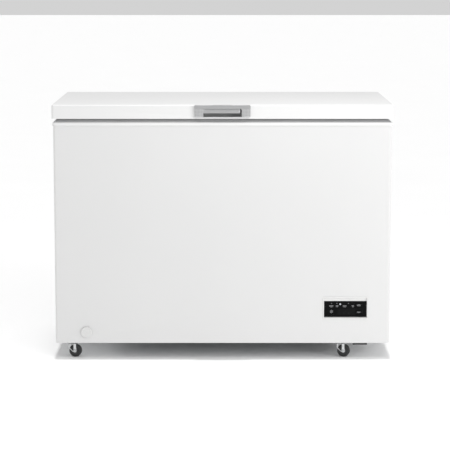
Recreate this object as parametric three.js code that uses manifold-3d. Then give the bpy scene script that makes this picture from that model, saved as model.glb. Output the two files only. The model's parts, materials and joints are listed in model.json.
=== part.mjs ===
// Chest freezer, about 295 litres: a foamed cabinet on four swivel casters, with a top lid on two sprung rear hinges.
// Millimetres. +Z is up, -Y is the front (handle, control panel and drain cap), +X is to the right of somebody facing the front.
// The origin is on the floor, under the centre of the overall box.
import * as THREE from "three";
import { mergeVertices } from "three/addons/utils/BufferGeometryUtils.js";
import Module from "manifold-3d";

const wasm = await Module();
wasm.setup();

// ---------------------------------------------------------------- driving dimensions
const GAP = 0.3; // clearance between pieces that touch
const LID = { x: 559, y0: -311, y1: 299, z0: 799, z1: 845, r: 8 }; // outer faces of the lid
const CAB = { x: 554.5, y0: -306.5, y1: 296, z0: 52.5, z1: 787, r: 8 }; // outer faces of the cabinet
const SHEET = 1.5; // steel sheet
const HEM = { out: 3, z0: 775.5 }; // the folded lip round the top of the wrap
const WALL_X = 60, WALL_Y = 57; // insulated wall thickness
const FLOOR_Z = 114.5, STEP_X = 222, STEP_Z = 375; // tub floor, and the step over the compressor bay
const BAY = { x0: 272, z1: 335 }; // compressor bay, left wall and ceiling
const LEDGE_Z = 781.5, COLLAR_TOP = 798; // basket ledge and sealing face of the collar
const HINGE = { x: 400, y: 314, z: 803 }; // lid hinge axis
const CASTER = { wheelR: 21, trail: 14, zPlate: 52.2 };
const CASTERS = [
  { tag: "front_left", x: -505, y: -270, turn: -10 },
  { tag: "front_right", x: 391, y: -270, turn: -12 },
  { tag: "rear_left", x: -505, y: 248, turn: 14 },
  { tag: "rear_right", x: 391, y: 248, turn: -24 },
];
const PANEL = { x0: 337.2, x1: 477.7, z0: 139.1, z1: 192.6, y: -299 }; // black display window
const BUTTONS = [
  { tag: "set", x: 452, z: 178.8 },
  { tag: "mode", x: 452, z: 155.6 },
];
const DRAIN = { x: -452, y: -215, z: 89, r: 18.8 };
const HANDLE = { x: 91.5, z0: 802.5, z1: 844.5, y0: -322.5, slotX: 62.5, slotZ0: 806, slotZ1: 831.5, gripZ: 817 };
const BASKET = { x0: 226, x1: 486, y0: -238, y1: 227.5, z0: 562, zRim: 781.8 };
const VENT = { y0: 70, y1: 260, z0: 80, z1: 250 }; // hole in the right side
const COVER = { x0: 290, x1: 545, z0: 60, z1: 320 }; // hole in the back
const COMP = { x: 412, y: 110, r: 76 };

// ---------------------------------------------------------------- helpers
function solid(geometry) {
  const g = geometry.index ? geometry.clone() : geometry.clone();
  for (const k of Object.keys(g.attributes)) if (k !== "position") g.deleteAttribute(k);
  const m = mergeVertices(g, 1e-4);
  const tri = new Uint32Array(m.index.array);
  const pos = m.attributes.position.array;
  let v = 0;
  for (let i = 0; i < tri.length; i += 3) {
    const [a, b, c] = [tri[i] * 3, tri[i + 1] * 3, tri[i + 2] * 3];
    v += pos[a] * (pos[b + 1] * pos[c + 2] - pos[b + 2] * pos[c + 1]) -
      pos[a + 1] * (pos[b] * pos[c + 2] - pos[b + 2] * pos[c]) +
      pos[a + 2] * (pos[b] * pos[c + 1] - pos[b + 1] * pos[c]);
  }
  if (v < 0) for (let i = 0; i < tri.length; i += 3) [tri[i + 1], tri[i + 2]] = [tri[i + 2], tri[i + 1]];
  return new wasm.Manifold(new wasm.Mesh({ numProp: 3, vertProperties: new Float32Array(pos), triVerts: tri }));
}
function geometryOf(manifold) {
  const m = manifold.getMesh(), n = m.numProp;
  const v = new Float32Array(m.numVert * 3);
  for (let i = 0; i < m.numVert; i++) v.set(m.vertProperties.subarray(i * n, i * n + 3), i * 3);
  const g = new THREE.BufferGeometry().setAttribute("position", new THREE.BufferAttribute(v, 3));
  g.setIndex(new THREE.BufferAttribute(new Uint32Array(m.triVerts), 1));
  return g;
}
const join = (...s) => s.reduce((a, b) => a.add(b));
const cut = (a, ...s) => s.reduce((x, b) => x.subtract(b), a);

function box(x0, x1, y0, y1, z0, z1) {
  return solid(new THREE.BoxGeometry(x1 - x0, y1 - y0, z1 - z0).translate((x0 + x1) / 2, (y0 + y1) / 2, (z0 + z1) / 2));
}
// A cylinder along an axis, from a to b on that axis, centred on the other two coordinates.
function rod(axis, r, a, b, p, q, seg = 16, r2 = r) {
  const g = new THREE.CylinderGeometry(r2, r, b - a, seg); // along +Y: r at a, r2 at b
  const m = (a + b) / 2;
  if (axis === "y") g.translate(p, m, q);
  if (axis === "z") g.rotateX(Math.PI / 2).translate(p, q, m);
  if (axis === "x") g.rotateZ(-Math.PI / 2).translate(m, p, q);
  return solid(g);
}
const shapeOf = (points) => new THREE.Shape(points.map(([a, b]) => new THREE.Vector2(a, b)));
// Outline in XZ, swept along Y from y0 to y1.
function plateXZ(points, y0, y1, holes = []) {
  const s = shapeOf(points);
  s.holes = holes.map(shapeOf);
  const g = new THREE.ExtrudeGeometry(s, { depth: y1 - y0, bevelEnabled: false, steps: 1, curveSegments: 6 });
  return solid(g.rotateX(Math.PI / 2).translate(0, y1, 0));
}
// Outline in YZ, swept along X from x0 to x1.
function plateYZ(points, x0, x1, holes = []) {
  const s = shapeOf(points);
  s.holes = holes.map(shapeOf);
  const g = new THREE.ExtrudeGeometry(s, { depth: x1 - x0, bevelEnabled: false, steps: 1, curveSegments: 6 });
  g.applyMatrix4(new THREE.Matrix4().makeBasis(new THREE.Vector3(0, 1, 0), new THREE.Vector3(0, 0, 1), new THREE.Vector3(1, 0, 0)));
  return solid(g.translate(x0, 0, 0));
}
// Outline in XY, swept along Z from z0 to z1.
function plateXY(points, z0, z1, holes = []) {
  const s = shapeOf(points);
  s.holes = holes.map(shapeOf);
  const g = new THREE.ExtrudeGeometry(s, { depth: z1 - z0, bevelEnabled: false, steps: 1, curveSegments: 6 });
  return solid(g.translate(0, 0, z0));
}
const rect = (a0, a1, b0, b1) => [[a0, b0], [a1, b0], [a1, b1], [a0, b1]];
function arc(cx, cy, r, from, to, n) {
  return Array.from({ length: n + 1 }, (_, i) => {
    const t = THREE.MathUtils.degToRad(from + ((to - from) * i) / n);
    return [cx + r * Math.cos(t), cy + r * Math.sin(t)];
  });
}
function roundRect(x0, x1, y0, y1, r, n = 3) {
  return [...arc(x1 - r, y0 + r, r, -90, 0, n), ...arc(x1 - r, y1 - r, r, 0, 90, n), ...arc(x0 + r, y1 - r, r, 90, 180, n), ...arc(x0 + r, y0 + r, r, 180, 270, n)];
}
// A skin through loops of equal length: closed on itself, or with a flat cap on the first and last loop.
function loft(loops, closed) {
  const n = loops[0].length, pos = loops.flat(2), idx = [];
  const rows = closed ? loops.length : loops.length - 1;
  for (let i = 0; i < rows; i++)
    for (let j = 0; j < n; j++) {
      const a = i * n + j, b = i * n + ((j + 1) % n);
      const k = (i + 1) % loops.length;
      const c = k * n + j, d = k * n + ((j + 1) % n);
      idx.push(a, b, d, a, d, c);
    }
  if (!closed) {
    for (const [k, flip] of [[0, true], [loops.length - 1, false]]) {
      const flat = loops[k].map(([x, y]) => new THREE.Vector2(x, y));
      for (const [a, b, c] of THREE.ShapeUtils.triangulateShape(flat, []))
        flip ? idx.push(k * n + a, k * n + c, k * n + b) : idx.push(k * n + a, k * n + b, k * n + c);
    }
  }
  const g = new THREE.BufferGeometry().setAttribute("position", new THREE.Float32BufferAttribute(pos, 3));
  g.setIndex(idx);
  return solid(g);
}
// Rounded rectangle loop at height z, inset from the given faces.
const loopAt = (f, inset, z, r = Math.max((f.r ?? 8) - inset, 1.5), n = 3) =>
  roundRect(-f.x + inset, f.x - inset, f.y0 + inset, f.y1 - inset, r, n).map(([x, y]) => [x, y, z]);
// A path given by its corner points, each rounded, that an ExtrudeGeometry follows point by point.
class Route extends THREE.Curve {
  constructor(points) {
    super();
    this.route = points.map((p) => (p.isVector3 ? p : new THREE.Vector3(...p)));
  }
  getSpacedPoints() {
    return this.route;
  }
  getTangentAt(u, target = new THREE.Vector3()) {
    const p = this.route, i = Math.round(u * (p.length - 1));
    return target.copy(p[Math.min(i + 1, p.length - 1)]).sub(p[Math.max(i - 1, 0)]).normalize();
  }
  getPoint(t) {
    return this.route[Math.round(t * (this.route.length - 1))];
  }
}
function bend(points, r, n = 3) {
  const p = points.map((q) => new THREE.Vector3(...q)), out = [p[0]];
  for (let i = 1; i < p.length - 1; i++) {
    const a = p[i - 1].clone().sub(p[i]).normalize(), b = p[i + 1].clone().sub(p[i]).normalize();
    const from = p[i].clone().addScaledVector(a, r), to = p[i].clone().addScaledVector(b, r);
    for (let k = 0; k <= n; k++) {
      const t = k / n;
      out.push(from.clone().multiplyScalar((1 - t) * (1 - t)).addScaledVector(p[i], 2 * t * (1 - t)).addScaledVector(to, t * t));
    }
  }
  out.push(p[p.length - 1]);
  return out;
}
function tube(points, r, sides = 6) {
  const path = new Route(points);
  const section = shapeOf(Array.from({ length: sides }, (_, i) => [r * Math.cos((2 * Math.PI * i) / sides), r * Math.sin((2 * Math.PI * i) / sides)]));
  return solid(new THREE.ExtrudeGeometry(section, { steps: path.route.length - 1, extrudePath: path, bevelEnabled: false }));
}

const material = (color, roughness, metalness = 0) => new THREE.MeshStandardMaterial({ color, roughness, metalness });
const WHITE_ENAMEL = material(0xf0f0ef, 0.32, 0.1);
const WHITE_PLASTIC = material(0xf1f1ee, 0.45);
const GREY_PROFILE = material(0x7d7f80, 0.55);
const GASKET = material(0xc9cbcc, 0.7);
const HANDLE_GREY = material(0xa9abac, 0.42, 0.3);
const PANEL_BLACK = material(0x141415, 0.18);
const LINER = material(0xd9dcdd, 0.42, 0.4);
const FOAM = material(0xe0cf98, 0.9);
const GALVANISED = material(0xb4b8ba, 0.4, 0.8);
const COPPER = material(0xb06a3c, 0.35, 0.9);
const BLACK_STEEL = material(0x18191a, 0.4, 0.4);
const ZINC = material(0xc4c7c9, 0.35, 0.8);
const RUBBER = material(0x2b2c2d, 0.75);
const WIRE = material(0xf2f2f0, 0.4);
const BOARD = material(0x245c38, 0.6);
const STEEL = material(0x9a9ea1, 0.3, 0.9);

const freezer = new THREE.Group();
function add(name, made, mat, parent = freezer) {
  const mesh = new THREE.Mesh(geometryOf(made), mat);
  mesh.name = name;
  parent.add(mesh);
  return mesh;
}

// ---------------------------------------------------------------- cabinet
// Outline in XY of what fills the wrap: its front corners follow the wrap's bends.
function fillOutline(x0, x1, y0, y1, left, right) {
  const r = 7.2;
  return [
    ...(left ? arc(x0 + r, y0 + r, r, 180, 270, 3) : [[x0, y0]]),
    ...(right ? arc(x1 - r, y0 + r, r, 270, 360, 3) : [[x1, y0]]),
    [x1, y1], [x0, y1],
  ];
}
const innerY0 = CAB.y0 + WALL_Y, innerY1 = CAB.y1 - WALL_Y, innerX = CAB.x - WALL_X;

// U-shaped steel wrap: front and both sides in one sheet, with a folded lip round its top.
function wrapOutline(out, inn, back) {
  const o = arc(CAB.x + out - CAB.r - out, CAB.y0 - out + CAB.r + out, CAB.r + out, -90, 0, 4);
  const ox = CAB.x + out, oy = CAB.y0 - out, ix = CAB.x - inn, iy = CAB.y0 + inn, r = CAB.r + out, q = Math.max(CAB.r - inn, 1);
  return [
    [-ox, back], ...arc(-ox + r, oy + r, r, 180, 270, 4), ...arc(ox - r, oy + r, r, 270, 360, 4), [ox, back],
    [ix, back], ...arc(ix - q, iy + q, q, 360, 270, 4), ...arc(-ix + q, iy + q, q, 270, 180, 4), [-ix, back],
  ].filter(() => o);
}
const BACK_IN = CAB.y1 - 2;
let wrap = join(
  plateXY(wrapOutline(0, SHEET, BACK_IN), CAB.z0, HEM.z0 + 1),
  plateXY(wrapOutline(HEM.out, SHEET, BACK_IN), HEM.z0, CAB.z1),
);
wrap = cut(
  wrap,
  box(PANEL.x0 - 3.3, PANEL.x1 + 2.4, CAB.y0 - 5, CAB.y0 + 5, 135.7, 206.3),
  rod("y", 12, CAB.y0 - 5, CAB.y0 + 5, DRAIN.x, DRAIN.z, 20),
  box(CAB.x - 5, CAB.x + 5, VENT.y0, VENT.y1, VENT.z0, VENT.z1),
);
add("outer_shell", wrap, WHITE_ENAMEL);

add("back_panel", plateXZ(rect(-552.5, 552.5, CAB.z0, CAB.z1), CAB.y1 - 1.7, CAB.y1, [rect(COVER.x0, COVER.x1, COVER.z0, COVER.z1)]), GALVANISED);
add("bottom_panel", plateXY(fillOutline(-552.7, BAY.x0 - GAP, CAB.y0 + 1.8, CAB.y1 - 2, true, false), CAB.z0, CAB.z0 + 2), GALVANISED);

// Grey frame round the opening: chamfered outside, flat sealing face, and a ledge inside for the basket.
const collarProfile = [[1, 787.3], [12, COLLAR_TOP], [52, COLLAR_TOP], [52, LEDGE_Z], [64, LEDGE_Z], [64, LEDGE_Z - 12], [61.5, LEDGE_Z - 12], [61.5, LEDGE_Z - 2.5], [49.5, LEDGE_Z - 2.5], [49.5, 795.5], [13, 795.5], [4.5, 787.3]];
add("collar_frame", loft(collarProfile.map(([i, z]) => loopAt(CAB, i, z, Math.max(12 - i * 0.2, 3))), true), GREY_PROFILE);

// Tub: an L-shaped outline (floor, step over the compressor bay) folded into a box that is open at the top.
function tubOutline(off, top) {
  const x0 = -innerX - off, x1 = STEP_X + off, x2 = innerX + off, z0 = FLOOR_Z - off, z1 = STEP_Z - off, r = 14;
  return [
    [x0, top], ...arc(x0 + r, z0 + r, r, 180, 270, 3), ...arc(x1 - r, z0 + r, r, 270, 360, 3),
    ...arc(x1 + r, z1 - r, r, 180, 90, 3), ...arc(x2 - r, z1 + r, r, 270, 360, 3), [x2, top],
  ];
}
const liner = cut(
  plateXZ(tubOutline(SHEET, LEDGE_Z - 2.8), innerY0 - SHEET, innerY1 + SHEET),
  plateXZ(tubOutline(0, 790), innerY0, innerY1),
  rod("z", 9, 100, 130, DRAIN.x, DRAIN.y, 16),
);
add("inner_liner", liner, LINER);

// Foam between the skins, with pockets for the coils, the drain and the compressor bay.
const foam = cut(
  plateXY(fillOutline(-552.7, 552.7, CAB.y0 + 1.8, CAB.y1 - 2.1, true, true), CAB.z0 + 2.3, LEDGE_Z - 3),
  plateXZ(tubOutline(SHEET + GAP, 790), innerY0 - SHEET - GAP, innerY1 + SHEET + GAP),
  box(BAY.x0, 560, -320, 320, 40, BAY.z1),
  box(-innerX - 12.5, innerX + 12.5, innerY0 - 12.5, innerY1 + 12.5, 440, 748),
  box(-456, 466, 285.4, 300, 400, 752),
  box(421, 466, 285.4, 300, 320, 401),
  rod("z", 6, 320, 450, 501, 60, 10),
  rod("z", 3, 320, 352, 330, 60, 8),
  rod("z", 12, DRAIN.z - 12, 130, DRAIN.x, DRAIN.y, 16),
  rod("y", 12, -320, DRAIN.y, DRAIN.x, DRAIN.z, 16),
);
add("foam_body", foam, FOAM);

// Evaporator: one tube wound round the tub, whose tail is the suction line down to the compressor.
{
  const ex = innerX + 6.5, e0 = innerY0 - 6.5, e1 = innerY1 + 6.5, r = 5.5, turns = 5, rise = 54;
  const pts = bend([[COMP.x + 6, COMP.y - 10, 230.8], [COMP.x + 6, COMP.y - 10, 262], [501, COMP.y - 10, 262], [501, 60, 262], [501, 60, 452], [501, 90, 456]], 12, 2);
  const ring = [...arc(ex - r, e1 - r, r, 0, 90, 2), ...arc(-ex + r, e1 - r, r, 90, 180, 2), ...arc(-ex + r, e0 + r, r, 180, 270, 2), ...arc(ex - r, e0 + r, r, 270, 360, 2)];
  for (let t = 0; t < turns; t++)
    ring.forEach(([x, y], i) => pts.push(new THREE.Vector3(x, y, 459 + rise * (t + (i + 1) / ring.length))));
  add("evaporator_coil", tube(pts, 3.8), COPPER);
}

// Condenser: a serpentine behind the back panel. It starts at the compressor and ends at the drier.
{
  const y = 289.9, pts = [[COMP.x + 20, COMP.y + COMP.r + 4.8, 196], [COMP.x + 20, 258, 196], [455, 258, 230], [455, 258, 312], [455, y, 326], [455, y, 738]];
  for (let i = 0; i < 6; i++) {
    const z = 738 - i * 60, left = i % 2 === 0;
    if (i) pts.push([left ? 436 : -440, y, z]);
    pts.push([left ? -440 : i === 5 ? 428 : 436, y, z]);
  }
  pts.push([428, y, 326], [428, 276, 306], [300, 276, 300], [300, 276, 124], [300, -60, 124], [300, -60, 149.7]);
  add("condenser_coil", tube(bend(pts, 12, 2), 2.5), BLACK_STEEL);
}

// ---------------------------------------------------------------- compressor bay
// Sheet that keeps the foam out of the bay: a left wall and a ceiling, with holes for the tubes.
add(
  "bay_wall",
  cut(
    plateXZ([[BAY.x0 + GAP, 54.8], [BAY.x0 + 1.5, 54.8], [BAY.x0 + 1.5, BAY.z1 - 1.5], [552.7, BAY.z1 - 1.5], [552.7, BAY.z1 - GAP], [BAY.x0 + GAP, BAY.z1 - GAP]], CAB.y0 + 2, CAB.y1 - 2.1),
    rod("z", 6, 320, 350, 501, 60, 10),
    box(540, 560, -320, -298, 320, 350),
    box(421, 466, 284, 300, 320, 350),
    rod("z", 3, 320, 350, 330, 60, 8),
  ),
  GALVANISED,
);
add(
  "compressor_tray",
  join(
    plateXY(fillOutline(BAY.x0, 552.7, CAB.y0 + 1.8, CAB.y1 - 2, false, true), CAB.z0, CAB.z0 + 2),
    box(433, 481, -297, -289, 44.5, CAB.z0 + 1), // stiffening lip under the front edge
    box(BAY.x0 + 2, BAY.x0 + 4, CAB.y0 + 1.8, CAB.y1 - 2, CAB.z0, 74),
  ),
  GALVANISED,
);
{
  const profile = [[0, 68], [58, 68], [COMP.r, 96], [COMP.r, 139], [COMP.r + 4, 140], [COMP.r + 4, 146], [COMP.r, 147], [COMP.r, 192], [64, 218], [0, 230]];
  const can = new THREE.LatheGeometry(profile.map(([r, z]) => new THREE.Vector2(r, z)), 20);
  const upright = solid(can.rotateX(Math.PI / 2));
  const feet = [[-92, -62], [92, -62], [-92, 62], [92, 62]];
  let made = upright.translate([COMP.x, COMP.y, 0]);
  made = made.add(plateXY(roundRect(COMP.x - 106, COMP.x + 106, COMP.y - 20, COMP.y + 20, 8, 2), 66, 69.5));
  made = made.add(plateXY(roundRect(COMP.x - 106, COMP.x - 76, COMP.y - 76, COMP.y + 76, 8, 2), 66, 69.5));
  made = made.add(plateXY(roundRect(COMP.x + 76, COMP.x + 106, COMP.y - 76, COMP.y + 76, 8, 2), 66, 69.5));
  for (const [a, b] of feet) made = made.add(rod("z", 8, 54.8, 67, COMP.x + a, COMP.y + b, 10));
  add("compressor", made, BLACK_STEEL);
}
add("relay_cover", box(COMP.x - 34, COMP.x + 34, COMP.y - COMP.r - 52, COMP.y - COMP.r - 4.5, 92, 168), material(0x26282a, 0.6));
add("filter_drier", (() => {
  const g = new THREE.LatheGeometry([[0, 150], [3, 150], [3, 162], [10, 170], [10, 246], [4, 256], [4, 268], [0, 268]].map(([r, z]) => new THREE.Vector2(r, z)), 16);
  return solid(g.rotateX(Math.PI / 2)).translate([300, -60, 0]);
})(), COPPER);
// Capillary: from the drier, once round, and up through the ceiling to the evaporator.
add("capillary_tube", tube(bend([[300, -60, 268.4], [300, -60, 296], [300, -20, 300], [334, -20, 304], [334, -60, 308], [300, -60, 312], [300, 60, 318], [330, 60, 320], [330, 60, 350]], 8, 2), 1.2, 5), COPPER);

// Louvred vents over the bay: plastic grille on the right side, steel cover on the back.
{
  let grille = plateYZ(roundRect(VENT.y0 - 9, VENT.y1 + 9, VENT.z0 - 9, VENT.z1 + 9, 6, 2), CAB.x + GAP, CAB.x + 3.3);
  for (let i = 0; i < 9; i++) grille = cut(grille, box(540, 570, VENT.y0 + 6, VENT.y1 - 6, VENT.z0 + 6 + i * 18, VENT.z0 + 16 + i * 18));
  add("side_vent_grille", grille, WHITE_PLASTIC);
  let cover = plateXZ(roundRect(COVER.x0 - 9, COVER.x1 + 6, COVER.z0 - 5, COVER.z1 + 9, 4, 2), CAB.y1 + GAP, CAB.y1 + 1.8);
  for (let i = 0; i < 8; i++) cover = cut(cover, box(COVER.x0 + 30, COVER.x1 - 30, 290, 310, COVER.z0 + 75 + i * 20, COVER.z0 + 82 + i * 20));
  add("rear_cover", cut(cover, rod("y", 8, 290, 310, COVER.x0 + 30, COVER.z0 + 26, 16)), GALVANISED);
}
{
  const x = COVER.x0 + 30, z = COVER.z0 + 26;
  const gland = join(rod("y", 7.4, CAB.y1 - 6, CAB.y1 + 3, x, z, 16), rod("y", 11, CAB.y1 + 2.1, CAB.y1 + 5.5, x, z, 16));
  add("cord_gland", cut(gland, rod("y", 3.6, CAB.y1 - 10, CAB.y1 + 30, x, z, 12)), RUBBER);
}

// ---------------------------------------------------------------- control panel
{
  const fx0 = PANEL.x0 - 5.7, fx1 = PANEL.x1 + 4.8, fz0 = 133, fz1 = 209;
  const flange = plateXZ(roundRect(fx0, fx1, fz0, fz1, 2.5, 2), CAB.y0 - 1.5, CAB.y0 - GAP);
  const cup = box(PANEL.x0 - 3, PANEL.x1 + 2.1, CAB.y0 - 1, -289.5, 136, 206);
  const ring = (x0, x1, z0, z1, y) => [[x0, y, z0], [x1, y, z0], [x1, y, z1], [x0, y, z1]];
  const loops = [ring(PANEL.x0 - 1.4, PANEL.x1 + 1.4, 137.6, 204.8, CAB.y0 - 3), ring(PANEL.x0 - 0.3, PANEL.x1 + 0.3, PANEL.z0 - 0.3, PANEL.z1 + 0.3, PANEL.y - 0.2), ring(PANEL.x0 - 0.3, PANEL.x1 + 0.3, PANEL.z0 - 0.3, PANEL.z1 + 0.3, -285)];
  // the cut-out is a tapered recess, then straight
  const pos = loops.flat(2), idx = [];
  for (let i = 0; i < 2; i++) for (let j = 0; j < 4; j++) {
    const a = i * 4 + j, b = i * 4 + ((j + 1) % 4), c = a + 4, d = b + 4;
    idx.push(a, b, d, a, d, c);
  }
  idx.push(0, 2, 1, 0, 3, 2, 8, 9, 10, 8, 10, 11);
  const g = new THREE.BufferGeometry().setAttribute("position", new THREE.Float32BufferAttribute(pos, 3));
  g.setIndex(idx);
  add("panel_bezel", cut(join(flange, cup), solid(g)), WHITE_PLASTIC);
  add("panel_display", plateXZ(rect(PANEL.x0, PANEL.x1, PANEL.z0, PANEL.z1), PANEL.y, PANEL.y + 2.6, BUTTONS.map((b) => roundRect(b.x - 12.4, b.x + 12.4, b.z - 6.4, b.z + 6.4, 2.4, 3))), PANEL_BLACK);
  add("control_board", box(PANEL.x0 + 3, PANEL.x1 - 3, PANEL.y + 4.6, PANEL.y + 13, PANEL.z0 + 2, PANEL.z1 - 2), BOARD);
  for (const b of BUTTONS) add("button_" + b.tag, plateXZ(roundRect(b.x - 12, b.x + 12, b.z - 6, b.z + 6, 2, 3), PANEL.y - 0.4, PANEL.y + 3.2), PANEL_BLACK);
}

// ---------------------------------------------------------------- drain
{
  const outer = join(rod("z", 11.5, DRAIN.z, FLOOR_Z - SHEET - GAP, DRAIN.x, DRAIN.y, 16), rod("y", 11.5, CAB.y0 + 1.8, DRAIN.y, DRAIN.x, DRAIN.z, 16), rod("z", 11.5, DRAIN.z - 11.2, DRAIN.z, DRAIN.x, DRAIN.y, 16));
  add("drain_tube", cut(outer, rod("z", 8.5, DRAIN.z, 140, DRAIN.x, DRAIN.y, 16), rod("y", 8.5, -320, DRAIN.y, DRAIN.x, DRAIN.z, 16)), WHITE_PLASTIC);
  add("drain_plug", join(rod("z", 16, FLOOR_Z + GAP, FLOOR_Z + 3, DRAIN.x, DRAIN.y, 20), rod("z", 7.6, 100, FLOOR_Z + 1, DRAIN.x, DRAIN.y, 16), rod("z", 5, FLOOR_Z + 2, FLOOR_Z + 9, DRAIN.x, DRAIN.y, 12, 6.5)), WHITE_PLASTIC);
  const cap = new THREE.LatheGeometry([[0, 0], [DRAIN.r - 0.6, 0], [DRAIN.r, 0.8], [DRAIN.r, 3], [DRAIN.r - 1.6, 4.8], [DRAIN.r - 6, 5.8], [0, 6.2]].map(([r, h]) => new THREE.Vector2(r, h)), 28);
  const face = solid(cap.rotateX(Math.PI).translate(0, CAB.y0 - GAP, 0)).translate([DRAIN.x, 0, DRAIN.z]);
  add("drain_cap", join(face, rod("y", 7.8, CAB.y0 - 1, CAB.y0 + 24, DRAIN.x, DRAIN.z, 16)), WHITE_PLASTIC);
}

// ---------------------------------------------------------------- lid
{
  const r = LID.r, top = LID.z1;
  const shell = loft(
    [
      loopAt(LID, 7.5, top - SHEET, 3), loopAt(LID, SHEET + 1.2, top - 4.4, r - SHEET), loopAt(LID, SHEET, top - 8, r - SHEET), loopAt(LID, SHEET, LID.z0 + SHEET, r - SHEET),
      loopAt(LID, 14, LID.z0 + SHEET, 3), loopAt(LID, 14, LID.z0, 3), loopAt(LID, 0.6, LID.z0, r - 0.6), loopAt(LID, 0, LID.z0 + 1, r),
      loopAt(LID, 0, top - 6, r), loopAt(LID, 0.8, top - 3, r - 0.8), loopAt(LID, 3, top - 0.8, r - 3), loopAt(LID, 6, top, r - 6),
    ],
    false,
  );
  // The sheet is pressed in to a shallow box behind the handle.
  const recess = box(-69.5, 69.5, -310, -289.2, 801.9, 835.7);
  add("lid_outer_shell", cut(join(shell, recess), box(-68, 68, -330, -290.7, 803.4, 834.2)), WHITE_ENAMEL);

  const core = loft(
    [
      loopAt(LID, 71.9, 788.3, 6), loopAt(LID, 63.9, 810.3, 6), loopAt(LID, 12.6, 810.3, 3), loopAt(LID, 12.6, LID.z0 + 1.9, 3), loopAt(LID, 2.2, LID.z0 + 1.9, r - 2), loopAt(LID, 2.2, top - 8.4, r - 2), loopAt(LID, 3.4, top - 4.9, r - 3), loopAt(LID, 8, top - 1.9, 4),
    ],
    false,
  );
  add("lid_foam", cut(core, box(-69.8, 69.8, -330, -288.9, 799, 836)), FOAM);

  const inner = loft(
    [
      loopAt(LID, 71.5, 788, 6), loopAt(LID, 63.5, 810, 6), loopAt(LID, 13, 810, 3), loopAt(LID, 13, 808, 3), loopAt(LID, 62, 808, 6), loopAt(LID, 70, 786, 6),
    ],
    false,
  );
  add("lid_inner_panel", cut(inner, box(-69.8, 69.8, -330, -288.9, 799, 836)), WHITE_PLASTIC);
  // Magnetic gasket: a bellows section, wider at its foot.
  add("lid_gasket", loft([[22.2, 807.7], [24.7, 803], [22.7, 801.5], [22.7, 798.3], [45.7, 798.3], [45.7, 801.5], [43.7, 803], [46.2, 807.7]].map(([i, z]) => loopAt(LID, i, z, Math.max(12 - i * 0.15, 4))), true), GASKET);

  const plate = plateXZ(roundRect(-HANDLE.x, HANDLE.x, HANDLE.z0, HANDLE.z1, 5, 3), HANDLE.y0 + 2.5, LID.y0 - GAP);
  const face = plateXZ(roundRect(-HANDLE.x + 2, HANDLE.x - 2, HANDLE.z0 + 2, HANDLE.z1 - 2, 4, 3), HANDLE.y0, HANDLE.y0 + 3);
  const cup = box(-67.6, 67.6, LID.y0 - 2, -291, 803.8, 833.8);
  const pocket = box(-HANDLE.slotX, HANDLE.slotX, HANDLE.y0 - 5, -293, HANDLE.slotZ0, HANDLE.slotZ1);
  add("handle_housing", cut(join(plate, face, cup), pocket), HANDLE_GREY);
  const grip = [[-317.2, HANDLE.slotZ1 - GAP], [-318.2, 826], [-318.2, 821], [-317, 818.2], [-314.8, HANDLE.gripZ], [-312.4, 817.6], [-311, 820], [-310, HANDLE.slotZ1 - GAP]];
  add("handle_grip", plateYZ(grip, -HANDLE.slotX + GAP, HANDLE.slotX - 5.3), HANDLE_GREY);
}

// ---------------------------------------------------------------- hinges
for (const [side, cx] of [["left", -HINGE.x], ["right", HINGE.x]]) {
  const ear = [[298, 750], [298, 794.5], [303, 799.5], ...arc(HINGE.y, HINGE.z, 8.5, 180, 0, 6), [HINGE.y + 8.5, 786], [304, 750]];
  let base = plateXZ(roundRect(cx - 34, cx + 34, 694, 794.5, 5, 2), CAB.y1 + GAP, CAB.y1 + 2.8);
  for (const s of [-1, 1]) base = base.add(plateYZ(ear, cx + (s < 0 ? -29 : 26), cx + (s < 0 ? -26 : 29)));
  base = base.subtract(rod("x", 4.2, cx - 40, cx + 40, HINGE.y, HINGE.z, 16));
  add("hinge_base_" + side, base, ZINC);
  add("hinge_pin_" + side, join(rod("x", 3.9, cx - 31, cx + 31, HINGE.y, HINGE.z, 16), rod("x", 5.6, cx - 32.5, cx - 29.4, HINGE.y, HINGE.z, 16)), STEEL);
  let arm = plateXZ(roundRect(cx - 32, cx + 32, 808, 841, 4, 2), LID.y1 + GAP, LID.y1 + 2.8);
  for (const s of [-1, 1]) {
    const a = cx + (s < 0 ? -25 : 10), b = cx + (s < 0 ? -10 : 25);
    arm = arm.add(rod("x", 7.4, a, b, HINGE.y, HINGE.z, 16));
    arm = arm.add(plateYZ([[299.3 + 0.01, 806], [299.3 + 0.01, 816], [303, 814], [HINGE.y, 810.2], [305, 806]], a, b));
  }
  arm = arm.subtract(rod("x", 4.2, cx - 40, cx + 40, HINGE.y, HINGE.z, 16));
  add("hinge_arm_" + side, arm, ZINC);
  const coil = [];
  for (let i = 0; i <= 32; i++) {
    const t = (2 * Math.PI * i) / 8;
    coil.push([cx - 7.6 + (15.2 * i) / 32, HINGE.y + 5.6 * Math.cos(t), HINGE.z + 5.6 * Math.sin(t)]);
  }
  add("hinge_spring_" + side, tube(coil, 1.05, 5), STEEL);
}

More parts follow.
